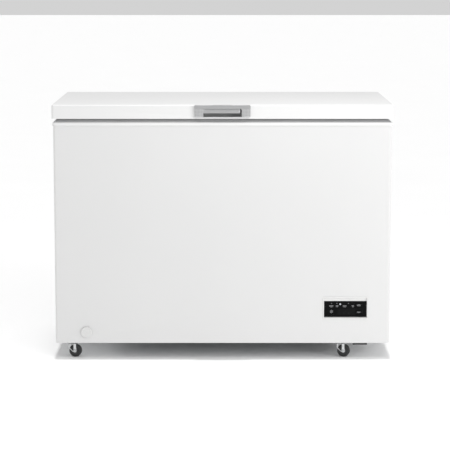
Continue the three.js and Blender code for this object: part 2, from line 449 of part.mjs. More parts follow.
// ---------------------------------------------------------------- basket: welded wire, hung from the ledges at the front and back
{
  const { x0, x1, y0, y1, z0, zRim } = BASKET, w = 3.2, top = zRim + 3.4;
  // A wall of upright wires with one cross wire, and a heavier wire along the top.
  const alongX = (a0, a1, b0, b1, c0, c1) => box(a0, a1, b0, b1, c0, c1);
  const alongY = (a0, a1, b0, b1, c0, c1) => box(b0, b1, a0, a1, c0, c1);
  const wall = (along, a0, a1, b0, b1, n) => {
    const step = (a1 - a0 - w) / n, zm = (z0 + zRim) / 2 - 10;
    let made = along(a0, a1, b0, b1, z0, top);
    for (let i = 0; i < n; i++) {
      const p = a0 + w + i * step, q = a0 + (i + 1) * step;
      made = cut(made, along(p, q, b0 - 1, b1 + 1, z0 + w, zm), along(p, q, b0 - 1, b1 + 1, zm + w, zRim - 1));
    }
    return made;
  };
  add("basket_wall_left", wall(alongY, y0 + w + GAP, y1 - w - GAP, x0, x0 + w, 12), WIRE);
  add("basket_wall_right", wall(alongY, y0 + w + GAP, y1 - w - GAP, x1 - w, x1, 12), WIRE);
  const front = wall(alongX, x0, x1, y0, y0 + w, 7), back = wall(alongX, x0, x1, y1 - w, y1, 7);
  // hanging loops that lie on the ledge
  const hook = (a, b, x) => box(x - 30, x + 30, a, b, zRim, zRim + 3.4);
  add("basket_wall_front", join(front, hook(y0 - 13, y0 + 1, x0 + 60), hook(y0 - 13, y0 + 1, x1 - 60)), WIRE);
  add("basket_wall_back", join(back, hook(y1 - 1, y1 + 13, x0 + 60), hook(y1 - 1, y1 + 13, x1 - 60)), WIRE);
  const n = 12, fy0 = y0 + w + GAP, fy1 = y1 - w - GAP, step = (fy1 - fy0 - w) / n, xm = (x0 + x1) / 2;
  let floor = box(x0 + w + GAP, x1 - w - GAP, fy0, fy1, z0, z0 + w);
  for (let i = 0; i < n; i++) {
    const p = fy0 + w + i * step, q = fy0 + (i + 1) * step;
    floor = cut(floor, box(x0 + 2 * w + GAP, xm - w / 2, p, q, z0 - 1, z0 + w + 1), box(xm + w / 2, x1 - 2 * w - GAP, p, q, z0 - 1, z0 + w + 1));
  }
  add("basket_floor", floor, WIRE);
}

// ---------------------------------------------------------------- casters
for (const c of CASTERS) {
  const plate = join(
    plateXY(roundRect(-21, 21, -21, 21, 4, 2), 50, CASTER.zPlate),
    rod("z", 13, 45.6, 50.5, 0, 0, 16),
  );
  const fixed = new THREE.Group();
  fixed.position.set(c.x, c.y, 0);
  freezer.add(fixed);
  add("caster_plate_" + c.tag, plate, ZINC, fixed);

  const swivel = new THREE.Group();
  swivel.rotation.z = THREE.MathUtils.degToRad(c.turn);
  fixed.add(swivel);
  const t = CASTER.trail, ax = CASTER.wheelR;
  const legXZ = [[-12, 45.2], ...arc(t, ax, 7.2, 200, 360, 5), [t + 7.6, 36], [t + 6, 45.2]];
  let fork = plateXY(roundRect(-13, t + 6, -12, 12, 5, 2), 43.4, 45.2);
  for (const s of [-1, 1]) fork = fork.add(plateXZ(legXZ, s < 0 ? -12 : 10.3, s < 0 ? -10.3 : 12));
  fork = fork.subtract(rod("y", 3.3, -20, 20, t, ax, 12));
  add("caster_fork_" + c.tag, fork, ZINC, swivel);
  add("caster_axle_" + c.tag, join(rod("y", 2.8, -14.5, 14.5, t, ax, 12), rod("y", 4.6, -14.8, -12.3, t, ax, 6), rod("y", 4.6, 12.3, 14.8, t, ax, 6)), STEEL, swivel);
  const R = CASTER.wheelR / Math.cos(Math.PI / 24);
  const wheel = new THREE.LatheGeometry(
    [[3.05, -9.6], [7, -9.6], [8, -7.6], [R - 2, -8.4], [R, -6], [R, 6], [R - 2, 8.4], [8, 7.6], [7, 9.6], [3.05, 9.6], [3.05, -9.6]].map(([r, h]) => new THREE.Vector2(r, h)),
    24,
  );
  // turned so that a flat of the 24-sided rim is at the bottom
  wheel.rotateY(Math.PI / 24).translate(t, 0, ax);
  add("caster_wheel_" + c.tag, solid(wheel), RUBBER, swivel);
}

export default freezer;
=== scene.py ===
import json
import math

import bmesh
import bpy
from mathutils import Matrix, Vector
from mathutils.geometry import tessellate_polygon


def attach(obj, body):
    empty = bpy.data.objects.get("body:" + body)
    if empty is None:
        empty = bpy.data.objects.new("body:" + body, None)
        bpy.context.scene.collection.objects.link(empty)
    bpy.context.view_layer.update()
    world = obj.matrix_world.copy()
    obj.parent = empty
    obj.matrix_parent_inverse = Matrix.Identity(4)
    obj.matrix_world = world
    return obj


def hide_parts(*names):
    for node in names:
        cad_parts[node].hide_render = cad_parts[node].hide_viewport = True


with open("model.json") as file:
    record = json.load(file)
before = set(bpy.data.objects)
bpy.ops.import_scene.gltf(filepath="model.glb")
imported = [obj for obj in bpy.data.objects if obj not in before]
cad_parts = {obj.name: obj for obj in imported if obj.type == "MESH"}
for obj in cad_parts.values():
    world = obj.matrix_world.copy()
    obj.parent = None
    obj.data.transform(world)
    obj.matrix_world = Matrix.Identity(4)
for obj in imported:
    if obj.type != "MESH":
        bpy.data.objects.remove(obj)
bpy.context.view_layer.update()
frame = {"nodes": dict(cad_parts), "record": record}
NODES = frame["nodes"]
BODY_OF = {n: b for b, ns in frame["record"]["behaviour"]["bodies"].items() for n in ns}
SLOT_OF = {s["node"]: s["material_slot"] for s in frame["record"]["subparts"]}
SCENE = bpy.context.scene
IDENT = Matrix.Identity(4)

# All the numbers below are millimetres in the CAD frame; solidify_data() turns them into metres.
LID = dict(x=559.0, y0=-311.0, y1=299.0, z0=799.0, z1=845.0, r=8.0)
CAB = dict(x=554.5, y0=-306.5, y1=296.0, z0=52.5, z1=787.0, r=8.0)
BACK_IN = 294.0
PANEL = dict(x0=337.2, x1=477.7, z0=139.1, z1=192.6, y=-299.0)
BUTTONS = {"button_set": (452.0, 178.8), "button_mode": (452.0, 155.6)}
DRAIN = dict(x=-452.0, y=-215.0, z=89.0)
HINGE = dict(x=400.0, y=314.0, z=803.0)
CASTERS = {
    "front_left": (-505.0, -270.0, -10.0),
    "front_right": (391.0, -270.0, -12.0),
    "rear_left": (-505.0, 248.0, 14.0),
    "rear_right": (391.0, 248.0, -24.0),
}
LEDGE = 781.5
BASKET = dict(x0=226.0, x1=486.0, y0=-238.0, y1=227.5, z0=562.0, rim=LEDGE + 0.3)
VENT = dict(y0=70.0, y1=260.0, z0=80.0, z1=250.0)
COVER = dict(x0=290.0, x1=545.0, z0=60.0, z1=320.0)


# ------------------------------------------------------------------ outlines
def arc(cx, cy, r, a0, a1, n):
    return [
        (cx + r * math.cos(math.radians(a0 + (a1 - a0) * i / n)), cy + r * math.sin(math.radians(a0 + (a1 - a0) * i / n)))
        for i in range(n + 1)
    ]


def rrect(x0, x1, y0, y1, r, n=6, m=1):
    """Rounded rectangle, counter-clockwise from the bottom right corner; each straight side has m pieces."""
    r = min(r, (x1 - x0) / 2 - 1e-3, (y1 - y0) / 2 - 1e-3)
    corners = [arc(x1 - r, y0 + r, r, -90, 0, n), arc(x1 - r, y1 - r, r, 0, 90, n), arc(x0 + r, y1 - r, r, 90, 180, n), arc(x0 + r, y0 + r, r, 180, 270, n)]
    out = []
    for i, c in enumerate(corners):
        out += c
        a, b = c[-1], corners[(i + 1) % 4][0]
        out += [(a[0] + (b[0] - a[0]) * k / m, a[1] + (b[1] - a[1]) * k / m) for k in range(1, m)]
    return out


def circle(cx, cy, r, n=24):
    return [(cx + r * math.cos(2 * math.pi * i / n), cy + r * math.sin(2 * math.pi * i / n)) for i in range(n)]


def offset(pts, d):
    """Moves a counter-clockwise outline inwards by d."""
    if abs(d) < 1e-9:
        return list(pts)
    out, n = [], len(pts)
    for i in range(n):
        p, q, s = Vector(pts[i - 1]), Vector(pts[i]), Vector(pts[(i + 1) % n])
        a, b = (q - p).normalized(), (s - q).normalized()
        na, nb = Vector((-a.y, a.x)), Vector((-b.y, b.x))
        m = na + nb
        k = d * 2 / max(m.length_squared, 0.3)
        out.append((q.x + m.x * k, q.y + m.y * k))
    return out


def round_steps(e, k):
    """(inset, depth) pairs round an edge of radius e, from the face to the side."""
    return [(e * (1 - math.sin(math.pi / 2 * i / k)), e * (1 - math.cos(math.pi / 2 * i / k))) for i in range(k + 1)]


PUT = {
    "xy": lambda u, v, h: (u, v, h),
    "xz": lambda u, v, h: (u, h, v),
    "yz": lambda u, v, h: (h, u, v),
}


# ------------------------------------------------------------------ meshes
class Mesh:
    def __init__(self):
        self.v, self.f = [], []

    def ring(self, pts):
        start = len(self.v)
        self.v += [tuple(p) for p in pts]
        return list(range(start, len(self.v)))

    def bridge(self, a, b, closed=True):
        n = len(a)
        for i in range(n if closed else n - 1):
            j = (i + 1) % n
            self.f.append((a[i], a[j], b[j], b[i]))

    def cap(self, ring, holes=()):
        if not holes:
            self.f.append(tuple(ring))
            return
        loops = [ring, *holes]
        flat = [i for loop in loops for i in loop]
        for t in tessellate_polygon([[Vector(self.v[i]) for i in loop] for loop in loops]):
            if len(set(t)) == 3:
                self.f.append(tuple(flat[i] for i in t))

    def add(self, other, matrix=IDENT):
        start = len(self.v)
        self.v += [tuple(matrix @ Vector(p)) for p in other.v]
        self.f += [tuple(i + start for i in f) for f in other.f]
        return self

    def moved(self, matrix):
        return Mesh().add(self, matrix)


def solidify_data(name, m, sharp=32, metres=True):
    bm = bmesh.new()
    k = 0.001 if metres else 1.0
    vs = [bm.verts.new((x * k, y * k, z * k)) for x, y, z in m.v]
    for f in m.f:
        if len(set(f)) == len(f):
            try:
                bm.faces.new([vs[i] for i in f])
            except ValueError:
                pass
    bmesh.ops.remove_doubles(bm, verts=bm.verts, dist=2e-6)
    bmesh.ops.dissolve_degenerate(bm, edges=bm.edges, dist=1e-7)
    bmesh.ops.recalc_face_normals(bm, faces=bm.faces)
    data = bpy.data.meshes.new(name)
    bm.to_mesh(data)
    bm.free()
    smooth(data, sharp)
    return data


def smooth(data, sharp=32):
    data.polygons.foreach_set("use_smooth", [True] * len(data.polygons))
    data.set_sharp_from_angle(angle=math.radians(sharp))


def piece(name, m, mat, body, replaces=(), slot=None, sharp=32, bevel=0.0, segments=2, angle=32):
    data = m if isinstance(m, bpy.types.Mesh) else solidify_data(name, m, sharp)
    obj = bpy.data.objects.new(name, data)
    SCENE.collection.objects.link(obj)
    data.materials.clear()
    data.materials.append(mat)
    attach(obj, body)
    if replaces:
        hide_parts(*replaces)
    slot = slot or (SLOT_OF.get(replaces[0]) if replaces else None)
    if bevel:
        b = obj.modifiers.new("edge", "BEVEL")
        b.width = bevel / 1000
        b.segments = segments
        b.limit_method = "ANGLE"
        b.angle_limit = math.radians(angle)
        b.harden_normals = False
        b.use_clamp_overlap = True
    return obj


def plate(outline, a, b, plane="xy", holes=(), e=0.5, k=3):
    """A plate with rounded edges and holes, in the named plane, from a to b along its normal."""
    put = PUT[plane]
    steps = round_steps(e, k)
    levels = [(i, a + h) for i, h in steps] + [(i, b - h) for i, h in reversed(steps)]
    m = Mesh()
    first, last = [], []
    for loop, sign in [(outline, 1)] + [(h, -1) for h in holes]:
        rings = [m.ring([put(u, v, h) for u, v in offset(loop, sign * inset)]) for inset, h in levels]
        for p, q in zip(rings, rings[1:]):
            m.bridge(p, q)
        first.append(rings[0])
        last.append(rings[-1])
    m.cap(first[0], first[1:])
    m.cap(last[0], last[1:])
    return m


def loft(loops, closed=False, caps=True):
    m = Mesh()
    rings = [m.ring(p) for p in loops]
    for p, q in zip(rings, rings[1:]):
        m.bridge(p, q)
    if closed:
        m.bridge(rings[-1], rings[0])
    elif caps:
        m.cap(rings[0])
        m.cap(rings[-1])
    return m


def lathe(profile, axis="z", centre=(0, 0, 0), n=32, closed=False):
    """Turns (radius, height) points round an axis; the ends lie on the axis unless the profile is closed."""
    m = Mesh()
    cx, cy, cz = centre
    place = {
        "z": lambda c, s, h: (cx + c, cy + s, cz + h),
        "y": lambda c, s, h: (cx + c, cy + h, cz + s),
        "x": lambda c, s, h: (cx + h, cy + c, cz + s),
    }[axis]
    rings = []
    for r, h in profile:
        if r < 1e-6:
            rings.append(m.ring([place(0, 0, h)]))
        else:
            rings.append(m.ring([place(r * math.cos(2 * math.pi * i / n), r * math.sin(2 * math.pi * i / n), h) for i in range(n)]))
    pairs = list(zip(rings, rings[1:])) + ([(rings[-1], rings[0])] if closed else [])
    for p, q in pairs:
        if len(p) == 1 and len(q) == 1:
            continue
        if len(p) == 1 or len(q) == 1:
            one, many = (p[0], q) if len(p) == 1 else (q[0], p)
            for i in range(n):
                m.f.append((one, many[i], many[(i + 1) % n]))
        else:
            m.bridge(p, q)
    return m


def fillet(points, r, n=4):
    p = [Vector(q) for q in points]
    out = [p[0]]
    for i in range(1, len(p) - 1):
        a, b = p[i - 1] - p[i], p[i + 1] - p[i]
        d = min(r, a.length * 0.49, b.length * 0.49)
        s, t = p[i] + a.normalized() * d, p[i] + b.normalized() * d
        for k in range(n + 1):
            w = k / n
            out.append(s * (1 - w) ** 2 + p[i] * 2 * w * (1 - w) + t * w * w)
    out.append(p[-1])
    return out


def tube(points, r, sides=10, m=None, round_ends=True):
    """A round wire or tube along points, with slightly rounded ends."""
    m = m or Mesh()
    p = [Vector(q) for q in points]
    tangents = [(p[min(i + 1, len(p) - 1)] - p[max(i - 1, 0)]).normalized() for i in range(len(p))]
    up = Vector((0, 0, 1)) if abs(tangents[0].z) < 0.9 else Vector((1, 0, 0))
    side = tangents[0].cross(up).normalized()
    rings = []

    def section(c, t, radius):
        b = t.cross(side).normalized()
        return m.ring([c + (side * math.cos(2 * math.pi * k / sides) + b * math.sin(2 * math.pi * k / sides)) * radius for k in range(sides)])

    if round_ends:
        rings.append(section(p[0] - tangents[0] * r * 0.35, tangents[0], r * 0.6))
    for i, (c, t) in enumerate(zip(p, tangents)):
        if i:
            side = (side - t * side.dot(t)).normalized()
        rings.append(section(c, t, r))
    if round_ends:
        rings.append(section(p[-1] + tangents[-1] * r * 0.35, tangents[-1], r * 0.6))
    for a, b in zip(rings, rings[1:]):
        m.bridge(a, b)
    m.cap(rings[0])
    m.cap(rings[-1])
    return m


def block(x0, x1, y0, y1, z0, z1, e=0.4, k=2):
    return plate(rrect(x0, x1, y0, y1, max(e, 0.3), 2), z0, z1, "xy", e=e, k=k)


def cutter(m):
    data = solidify_data("cutter", m)
    obj = bpy.data.objects.new("cutter", data)
    SCENE.collection.objects.link(obj)
    return obj


def carve(data, cutters, sharp=32):
    """The mesh data with closed shapes cut out of it."""
    obj = bpy.data.objects.new("carved", data)
    SCENE.collection.objects.link(obj)
    tools = [cutter(c) for c in cutters]
    for t in tools:
        b = obj.modifiers.new("cut", "BOOLEAN")
        b.operation, b.object, b.solver = "DIFFERENCE", t, "EXACT"
    bpy.context.view_layer.update()
    made = bpy.data.meshes.new_from_object(obj.evaluated_get(bpy.context.evaluated_depsgraph_get()))
    for o in [obj, *tools]:
        bpy.data.objects.remove(o)
    bm = bmesh.new()
    bm.from_mesh(made)
    bmesh.ops.remove_doubles(bm, verts=bm.verts, dist=2e-6)
    bm.to_mesh(made)
    bm.free()
    smooth(made, sharp)
    return made


def refine(node, mat, bevel=0.35, segments=2, sharp=32, name=None, dissolve=True):
    """A copy of a CAD node with its flat faces joined and its edges rounded, standing for that node."""
    src = NODES[node].data
    bm = bmesh.new()
    bm.from_mesh(src)
    bmesh.ops.remove_doubles(bm, verts=bm.verts, dist=2e-6)
    if dissolve:
        bmesh.ops.dissolve_limit(bm, angle_limit=math.radians(0.8), verts=bm.verts, edges=bm.edges)
    bmesh.ops.recalc_face_normals(bm, faces=bm.faces)
    data = bpy.data.meshes.new(name or node + "_form")
    bm.to_mesh(data)
    bm.free()
    for a in ("custom_normal", "UVMap"):
        if a in data.attributes:
            data.attributes.remove(data.attributes[a])
    smooth(data, sharp)
    return piece(name or node + "_form", data, mat, BODY_OF[node], (node,), bevel=bevel, segments=segments)


# ------------------------------------------------------------------ materials
def shade(name, color, rough=0.5, metal=0.0, coat=0.0, coat_rough=0.1, tint=0.03, tint_scale=6.0, rough_var=0.06, rough_scale=40.0,
          bumps=((300.0, 0.12, 0.0002),), stretch=(1, 1, 1), emission=None, specular=0.5, kind="noise", cells=None):
    """Principled material whose colour, roughness and relief vary by object position."""
    mat = bpy.data.materials.new(name)
    mat.use_nodes = True
    nt = mat.node_tree
    new, link = nt.nodes.new, nt.links.new
    bsdf = nt.nodes["Principled BSDF"]
    bsdf.inputs["Metallic"].default_value = metal
    bsdf.inputs["Specular IOR Level"].default_value = specular
    bsdf.inputs["Coat Weight"].default_value = coat
    bsdf.inputs["Coat Roughness"].default_value = coat_rough
    if emission:
        bsdf.inputs["Emission Color"].default_value = (*emission[0], 1)
        bsdf.inputs["Emission Strength"].default_value = emission[1]
    coord = new("ShaderNodeTexCoord")
    place = new("ShaderNodeMapping")
    place.inputs["Scale"].default_value = stretch
    link(coord.outputs["Object"], place.inputs["Vector"])

    def noise(scale, detail=3.0, roughness=0.55):
        n = new("ShaderNodeTexNoise")
        n.inputs["Scale"].default_value = scale
        n.inputs["Detail"].default_value = detail
        n.inputs["Roughness"].default_value = roughness
        link(place.outputs["Vector"], n.inputs["Vector"])
        return n.outputs["Fac"]

    ramp = new("ShaderNodeValToRGB")
    ramp.color_ramp.elements[0].position, ramp.color_ramp.elements[1].position = 0.3, 0.7
    ramp.color_ramp.elements[0].color = (*[c * (1 - tint) for c in color], 1)
    ramp.color_ramp.elements[1].color = (*[min(c * (1 + tint * 0.4), 1) for c in color], 1)
    if cells:
        v = new("ShaderNodeTexVoronoi")
        v.inputs["Scale"].default_value = cells
        link(place.outputs["Vector"], v.inputs["Vector"])
        sep = new("ShaderNodeSeparateColor")
        link(v.outputs["Color"], sep.inputs["Color"])
        link(sep.outputs["Red"], ramp.inputs["Fac"])
        ramp.color_ramp.elements[0].position, ramp.color_ramp.elements[1].position = 0.0, 1.0
    elif kind == "dots":
        # painted shade: the colour is darker in the middle of each dimple, where the relief's shade falls
        v = new("ShaderNodeTexVoronoi")
        v.inputs["Scale"].default_value = bumps[0][0]
        v.inputs["Randomness"].default_value = 0.0
        link(place.outputs["Vector"], v.inputs["Vector"])
        link(v.outputs["Distance"], ramp.inputs["Fac"])
        ramp.color_ramp.elements[0].position, ramp.color_ramp.elements[1].position = 0.22, 0.36
    else:
        link(noise(tint_scale), ramp.inputs["Fac"])
    link(ramp.outputs["Color"], bsdf.inputs["Base Color"])
    span = new("ShaderNodeMapRange")
    span.inputs["From Min"].default_value, span.inputs["From Max"].default_value = 0.3, 0.7
    span.inputs["To Min"].default_value, span.inputs["To Max"].default_value = max(rough - rough_var, 0.02), min(rough + rough_var, 1)
    link(noise(rough_scale, 5.0), span.inputs["Value"])
    link(span.outputs["Result"], bsdf.inputs["Roughness"])
    normal = None
    for scale, strength, distance in bumps:
        bump = new("ShaderNodeBump")
        bump.inputs["Strength"].default_value = strength
        bump.inputs["Distance"].default_value = distance
        if kind == "dots" and scale > 200:
            v = new("ShaderNodeTexVoronoi")
            v.inputs["Scale"].default_value = scale
            v.inputs["Randomness"].default_value = 0.0
            link(place.outputs["Vector"], v.inputs["Vector"])
            link(v.outputs["Distance"], bump.inputs["Height"])
        elif kind == "stucco" and scale > 60:
            v = new("ShaderNodeTexVoronoi")
            v.feature = "SMOOTH_F1"
            v.inputs["Scale"].default_value = scale
            v.inputs["Smoothness"].default_value = 0.6
            link(place.outputs["Vector"], v.inputs["Vector"])
            link(v.outputs["Distance"], bump.inputs["Height"])
        else:
            link(noise(scale, 2.0), bump.inputs["Height"])
        if normal:
            link(normal, bump.inputs["Normal"])
        normal = bump.outputs["Normal"]
    if normal:
        link(normal, bsdf.inputs["Normal"])
    return mat


ENAMEL = dict(coat=0.2, coat_rough=0.2, tint=0.010, tint_scale=3.0, rough_var=0.02, rough_scale=3.0, bumps=((2.2, 0.05, 0.0006), (420.0, 0.03, 0.00004)))
M_ENAMEL = shade("enamel_white", (0.708, 0.708, 0.706), 0.3, **ENAMEL)
# the lid's enamel is lighter than the body's: painted light, standing for the stronger light the lid gets from above
M_LID_LIT = shade("enamel_lid_painted_light", (0.768, 0.768, 0.766), 0.31, **{**ENAMEL, "coat": 0.12})
# painted highlight: lighter enamel for the lit rolled edges of the lid and the cabinet lip
M_EDGE_HIGHLIGHT = shade("enamel_edge_highlight", (0.80, 0.80, 0.798), 0.3, **ENAMEL)
M_CAP = shade("cap_white", (0.700, 0.700, 0.694), 0.42, tint=0.02, tint_scale=20.0, bumps=((900.0, 0.12, 0.00008),))
M_PLASTIC = shade("plastic_white", (0.74, 0.74, 0.732), 0.42, tint=0.02, tint_scale=20.0, bumps=((900.0, 0.12, 0.00008),))
M_ABS = shade("abs_white", (0.78, 0.79, 0.785), 0.34, tint=0.02, tint_scale=5.0, bumps=((5.0, 0.25, 0.0010), (700.0, 0.10, 0.00008)))
M_COLLAR = shade("profile_grey", (0.41, 0.413, 0.417), 0.5, tint=0.06, tint_scale=9.0, bumps=((700.0, 0.14, 0.00008),), stretch=(0.15, 0.15, 1))
M_GASKET = shade("gasket_grey", (0.50, 0.51, 0.515), 0.62, tint=0.06, tint_scale=30.0, bumps=((800.0, 0.18, 0.00008),))
M_HANDLE = shade("handle_silver", (0.38, 0.382, 0.386), 0.38, 0.3, tint=0.04, tint_scale=60.0, bumps=((1600.0, 0.10, 0.00005),))
# its dimples carry painted shade, darker in their middle
M_HANDLE_DOTS = shade("handle_dotted", (0.42, 0.422, 0.426), 0.42, 0.3, tint=0.34, kind="dots", stretch=(1, 0, 1), bumps=((217.0, 0.6, 0.00060),))
# painted highlight: a lighter copy of the handle finish for the lit strip along the bottom edge
M_HANDLE_LIP_HIGHLIGHT = shade("handle_lip_highlight", (0.60, 0.602, 0.606), 0.4, 0.2, tint=0.04, tint_scale=60.0, bumps=((1600.0, 0.10, 0.00005),))
M_HANDLE_SLOT = shade("handle_inside", (0.36, 0.362, 0.365), 0.5, 0.1, tint=0.06, tint_scale=60.0, bumps=((900.0, 0.15, 0.00008),))
M_PANEL = shade("window_black", (0.0035, 0.0036, 0.0038), 0.2, specular=0.07, tint=0.2, tint_scale=18.0, rough_var=0.03, rough_scale=60.0, bumps=((30.0, 0.04, 0.00006),))
M_SMOKE = shade("window_smoke", (0.0045, 0.0047, 0.0050), 0.2, specular=0.09, tint=0.25, tint_scale=60.0, rough_var=0.03, bumps=((900.0, 0.05, 0.00004),))
M_PRINT = shade("print_grey", (0.25, 0.25, 0.255), 0.5, tint=0.05, tint_scale=500.0, bumps=((3000.0, 0.1, 0.00002),))
M_PRINT_DIM = shade("print_dim", (0.10, 0.10, 0.105), 0.5, tint=0.05, tint_scale=500.0, bumps=((3000.0, 0.1, 0.00002),))
M_LED = shade("led_lit", (0.42, 0.44, 0.46), 0.3, tint=0.05, tint_scale=700.0, emission=((0.85, 0.93, 1.0), 0.16), bumps=((3000.0, 0.1, 0.00002),))
M_LINER = shade("liner_stucco", (0.74, 0.76, 0.77), 0.33, 0.75, tint=0.03, tint_scale=4.0, kind="stucco", bumps=((2.5, 0.2, 0.0010), (150.0, 0.55, 0.0006)))
M_FOAM = shade("foam", (0.72, 0.61, 0.33), 0.9, tint=0.12, tint_scale=60.0, bumps=((220.0, 0.7, 0.0012),))
M_GALV = shade("galvanised", (0.57, 0.585, 0.595), 0.42, 0.85, tint=0.09, rough_var=0.07, rough_scale=45.0, cells=150.0, bumps=((3.0, 0.25, 0.0010), (500.0, 0.08, 0.00008)))
M_COPPER = shade("copper", (0.62, 0.27, 0.13), 0.3, 0.95, tint=0.3, tint_scale=25.0, rough_var=0.12, bumps=((300.0, 0.1, 0.0001),))
M_BLACK = shade("enamel_black", (0.014, 0.014, 0.015), 0.34, coat=0.3, tint=0.15, tint_scale=20.0, bumps=((350.0, 0.16, 0.00016),))
M_BLACK_PLASTIC = shade("plastic_black", (0.022, 0.022, 0.024), 0.5, tint=0.15, tint_scale=30.0, bumps=((800.0, 0.2, 0.0001),))
M_ZINC = shade("zinc_plate", (0.64, 0.65, 0.655), 0.33, 0.9, tint=0.14, tint_scale=70.0, rough_var=0.10, rough_scale=120.0, bumps=((500.0, 0.12, 0.0001),))
M_STEEL = shade("steel_bright", (0.5, 0.51, 0.52), 0.26, 0.95, tint=0.12, tint_scale=90.0, rough_var=0.08, bumps=((900.0, 0.12, 0.00006),))
M_TYRE = shade("tyre_rubber", (0.026, 0.026, 0.027), 0.62, tint=0.25, tint_scale=80.0, rough_var=0.1, bumps=((450.0, 0.35, 0.00022),))
M_HUB = shade("wheel_hub", (0.05, 0.05, 0.052), 0.45, tint=0.1, tint_scale=80.0, bumps=((700.0, 0.2, 0.0001),))
M_WIRE = shade("wire_coated", (0.80, 0.80, 0.79), 0.34, coat=0.2, tint=0.02, tint_scale=30.0, bumps=((500.0, 0.16, 0.00012),))
M_BOARD = shade("board_green", (0.02, 0.13, 0.05), 0.4, tint=0.3, tint_scale=200.0, bumps=((900.0, 0.3, 0.0001),))
M_GRIT = shade("drier_copper", (0.60, 0.29, 0.15), 0.34, 0.9, tint=0.3, tint_scale=40.0, bumps=((400.0, 0.15, 0.0001),))


# ------------------------------------------------------------------ lid
def highlight_band(obj, z0, z1):
    """Painted highlight: the faces lying between two heights get a lighter enamel, standing for the light on a pressed
    sheet's rolled edge.
    """
    obj.data.materials.append(M_EDGE_HIGHLIGHT)
    for f in obj.data.polygons:
        zs = [obj.data.vertices[i].co.z for i in f.vertices]
        if min(zs) >= z0 and max(zs) <= z1:
            f.material_index = 1


def at(f, inset, z, r, n=10):
    return [(x, y, z) for x, y in rrect(-f["x"] + inset, f["x"] - inset, f["y0"] + inset, f["y1"] - inset, r, n)]


top_edge = [(4.0 * (1 - math.sin(t)), 845.0 - 4.0 * (1 - math.cos(t))) for t in [math.pi / 2 * (1 - i / 8) for i in range(9)]]
lid_loops = [at(LID, 8.6, 843.5, 3), at(LID, 3.0, 841.2, 5), at(LID, 1.5, 836.5, 6.5), at(LID, 1.5, 801.5, 6.5), at(LID, 13.9, 800.5, 3), at(LID, 14.2, 799.8, 3), at(LID, 13.9, 799.1, 3)]
lid_loops += [at(LID, 1.6, 799.0, 6.6), at(LID, 0.7, 799.15, 7.4), at(LID, 0.1, 799.5, 7.9), at(LID, -0.38, 800.0, 8.3), at(LID, -0.5, 800.7, 8.5), at(LID, -0.4, 801.5, 8.4), at(LID, 0, 803.6, 8)]
lid_loops += [at(LID, i, z, max(8 - i, 2.2)) for i, z in top_edge]
lid_data = carve(solidify_data("lid_skin", loft(lid_loops)), [block(-68, 68, -330, -300, 803.4, 834.2)])
# the lid's rolled lower edge carries the painted highlight
highlight_band(piece("lid_skin", lid_data, M_LID_LIT, "lid", ("lid_outer_shell",)), 0.7991, 0.8037)

# vacuum-formed inner panel: a flange, a plug with soft edges, and three shallow pans with ribs between them
inner = Mesh()
outer_steps = [(13, 810), (13, 808.2), (13.4, 807.9), (60.5, 807.9), (62.3, 807.4), (63.4, 806), (69.5, 789.5), (70.6, 787.4), (72.6, 786.1), (75.6, 785.6)]
rings = [inner.ring(at(LID, i, z, 8 if i > 20 else 5)) for i, z in outer_steps]
for p, q in zip(rings, rings[1:]):
    inner.bridge(p, q)
inner.cap(rings[0])
pans, pan_rings = [(-470, -165), (-147, 147), (165, 470)], []
for x0, x1 in pans:
    o = rrect(x0, x1, -224, 212, 16, 8)
    steps = [(0, 785.6), (1.2, 785.75), (2.4, 786.3), (5.2, 789.2), (6.6, 789.9), (8.2, 790.1)]
    rs = [inner.ring([(u, v, z) for u, v in offset(o, i)]) for i, z in steps]
    for p, q in zip(rs, rs[1:]):
        inner.bridge(p, q)
    # low raised bars inside each pan
    bars = []
    for k in range(3):
        c = (x0 + x1) / 2 + (k - 1) * 88
        b = rrect(c - 9, c + 9, -190, 178, 8.9, 6)
        bs = [inner.ring([(u, v, z) for u, v in offset(b, i)]) for i, z in [(0, 790.1), (0.8, 789.9), (2.4, 788.6), (3.4, 788.3)]]
        for p, q in zip(bs, bs[1:]):
            inner.bridge(p, q)
        inner.cap(bs[-1])
        bars.append(bs[0])
    inner.cap(rs[-1], bars)
    pan_rings.append(rs[0])
inner.cap(rings[-1], pan_rings)
inner_data = carve(solidify_data("lid_liner", inner, 25), [block(-69.8, 69.8, -330, -288.9, 799, 836)], 25)
piece("lid_liner", inner_data, M_ABS, "lid", ("lid_inner_panel",))

# magnetic gasket: a magnet tube on a two-fold bellows and a foot
g_profile = [(22.6, 798.35), (45.8, 798.35), (46.3, 798.8), (46.3, 801.3), (45.8, 801.8), (43.6, 802.1), (45.1, 803.4), (43.8, 804.6), (45.4, 805.5), (46.6, 806.2), (46.6, 807.6),
             (21.9, 807.6), (21.9, 806.2), (23.0, 805.5), (24.6, 804.6), (23.3, 803.4), (24.8, 802.1), (22.6, 801.8), (22.1, 801.3), (22.1, 798.8)]
piece("lid_seal", loft([at(LID, i, z, max(13 - i * 0.2, 3), 8) for i, z in g_profile], closed=True), M_GASKET, "lid", ("lid_gasket",), sharp=50)
core = solidify_data("lid_foam_core", loft([at(LID, i, z, max(r - i, 3), 8) for i, z, r in ((2.3, 810.6, 13), (2.3, 836.3, 13), (3.6, 839.9, 13), (8.2, 842.9, 13))]), 25)
piece("lid_foam_core", carve(core, [block(-69.8, 69.8, -330, -288.9, 799, 836)], 25), M_FOAM, "lid", ("lid_foam",))


# ------------------------------------------------------------------ handle
def crown(x):
    """Height of the small raised middle of the handle's top edge."""
    t = min(max((34 - abs(x)) / 9, 0), 1)
    return 0.7 * t * t * (3 - 2 * t)


def bow(x, k=1.9):
    return k * (x / 91.5) ** 2


